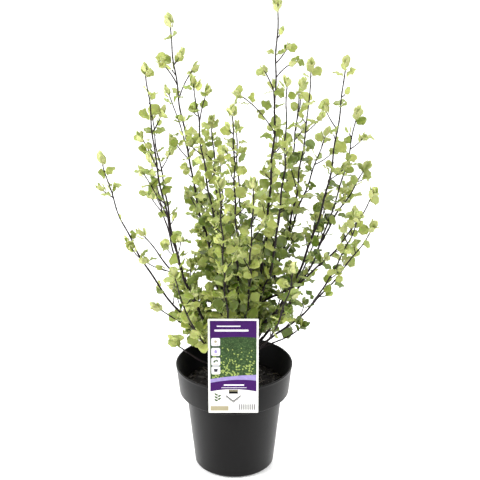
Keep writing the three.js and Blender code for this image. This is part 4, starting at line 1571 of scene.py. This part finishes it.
def build_stage(settings):
    """The pale floor, the soft lights and the camera"""
    profile = [(FLOOR_REACH * (ring / FLOOR_RINGS) ** 2, FLOOR_LEVEL) for ring in range(FLOOR_RINGS + 1)]
    pale = mottled("pale_floor", shades(settings.floor, 0.985), 0.4, (0.55, 0.65), 0.03, 0.01, specular=0.2)
    tune(pale, {"Emission Color": (1, 1, 1, 1), "Emission Strength": FLOOR_GLOW})
    floor = build_object("studio_floor", *lathe(profile, FLOOR_SIDES), [pale])

    world = bpy.data.worlds.new("soft_room")
    world.use_nodes = True
    way = add_node(world, "ShaderNodeTexCoord", {}).outputs["Generated"]
    back = add_node(world, "ShaderNodeSeparateXYZ", {"Vector": way}).outputs["Y"]
    light = {"Value": back, "From Min": -1, "To Min": ROOM_LIGHT_FRONT, "To Max": ROOM_LIGHT_BACK}
    strength = add_node(world, "ShaderNodeMapRange", light).outputs["Result"]
    wire(world, world.node_tree.nodes["Background"], {"Color": (1, 1, 1, 1), "Strength": strength})
    bpy.context.scene.world = world
    for lamp in LIGHTS:
        add_light(*lamp)

    lens = bpy.data.cameras.new("camera")
    lens.lens = settings.lens
    lens.sensor_width = 36
    camera = bpy.data.objects.new("camera", lens)
    camera.location = (CAMERA_SIDE, -settings.distance, settings.height)
    camera.rotation_euler = (math.radians(90 - CAMERA_TILT), 0, 0)
    bpy.context.scene.collection.objects.link(camera)
    bpy.context.scene.camera = camera
    bpy.context.scene.view_settings.view_transform = "Standard"


# Operators

class SHRUB_OT_stage(bpy.types.Operator):
    """Lay the floor, hang the soft lights and set the camera"""

    bl_idname = "shrub.stage"
    bl_label = "Stage"

    def execute(self, context):
        build_stage(context.scene.shrub_stage)
        return {"FINISHED"}


class SHRUB_OT_pot(bpy.types.Operator):
    """Build the nursery pot"""

    bl_idname = "shrub.pot"
    bl_label = "Pot"

    def execute(self, context):
        build_pot(context.scene.shrub_pot)
        return {"FINISHED"}


class SHRUB_OT_mix(bpy.types.Operator):
    """Fill the pot with potting mix, bark chips and roots"""

    bl_idname = "shrub.mix"
    bl_label = "Potting Mix"

    def execute(self, context):
        build_mix(context.scene.shrub_mix, context.scene.shrub_pot)
        return {"FINISHED"}


class SHRUB_OT_label(bpy.types.Operator):
    """Hang the printed label over the rim"""

    bl_idname = "shrub.label"
    bl_label = "Label"

    def execute(self, context):
        build_label(context.scene.shrub_label)
        return {"FINISHED"}


class SHRUB_OT_trunk(bpy.types.Operator):
    """Build the trunk and its boughs in bark relief"""

    bl_idname = "shrub.trunk"
    bl_label = "Trunk and Boughs"

    def execute(self, context):
        build_trunk(context.scene.shrub_wood)
        return {"FINISHED"}


class SHRUB_OT_twigs(bpy.types.Operator):
    """Grow the wands, forks and twigs"""

    bl_idname = "shrub.twigs"
    bl_label = "Wands and Twigs"

    def execute(self, context):
        build_twigs(context.scene.shrub_wood, grow_crown())
        return {"FINISHED"}


class SHRUB_OT_leaves(bpy.types.Operator):
    """Set the leaves on every wand and twig"""

    bl_idname = "shrub.leaves"
    bl_label = "Leaves"

    def execute(self, context):
        build_leaves(context.scene.shrub_leaf, context.scene.shrub_wood, grow_crown())
        return {"FINISHED"}


class SHRUB_PT_panel(bpy.types.Panel):
    bl_idname = "SHRUB_PT_panel"
    bl_label = "Potted Shrub"
    bl_space_type = "VIEW_3D"
    bl_region_type = "UI"
    bl_category = "Shrub"

    def draw(self, context):
        for group, operators in PIECES:
            for operator in operators:
                self.layout.operator(operator.bl_idname)
            settings = getattr(context.scene, group)
            for name in settings.bl_rna.properties.keys():
                if name not in ("rna_type", "name"):
                    self.layout.prop(settings, name)


GROUPS = {
    "shrub_stage": StageSettings,
    "shrub_pot": PotSettings,
    "shrub_mix": MixSettings,
    "shrub_label": LabelSettings,
    "shrub_wood": WoodSettings,
    "shrub_leaf": LeafSettings,
}
PIECES = [
    ("shrub_stage", [SHRUB_OT_stage]),
    ("shrub_pot", [SHRUB_OT_pot]),
    ("shrub_mix", [SHRUB_OT_mix]),
    ("shrub_label", [SHRUB_OT_label]),
    ("shrub_wood", [SHRUB_OT_trunk, SHRUB_OT_twigs]),
    ("shrub_leaf", [SHRUB_OT_leaves]),
]
CLASSES = [*GROUPS.values(), *(operator for _, operators in PIECES for operator in operators), SHRUB_PT_panel]


def register():
    for made in CLASSES:
        bpy.utils.register_class(made)
    for name, group in GROUPS.items():
        setattr(bpy.types.Scene, name, PointerProperty(type=group))


def unregister():
    for name in GROUPS:
        delattr(bpy.types.Scene, name)
    for made in reversed(CLASSES):
        bpy.utils.unregister_class(made)


def main():
    register()
    bpy.ops.shrub.stage()
    bpy.ops.shrub.pot()
    bpy.ops.shrub.mix()
    bpy.ops.shrub.label()
    bpy.ops.shrub.trunk()
    bpy.ops.shrub.twigs()
    bpy.ops.shrub.leaves()


if __name__ == "__main__":
    main()
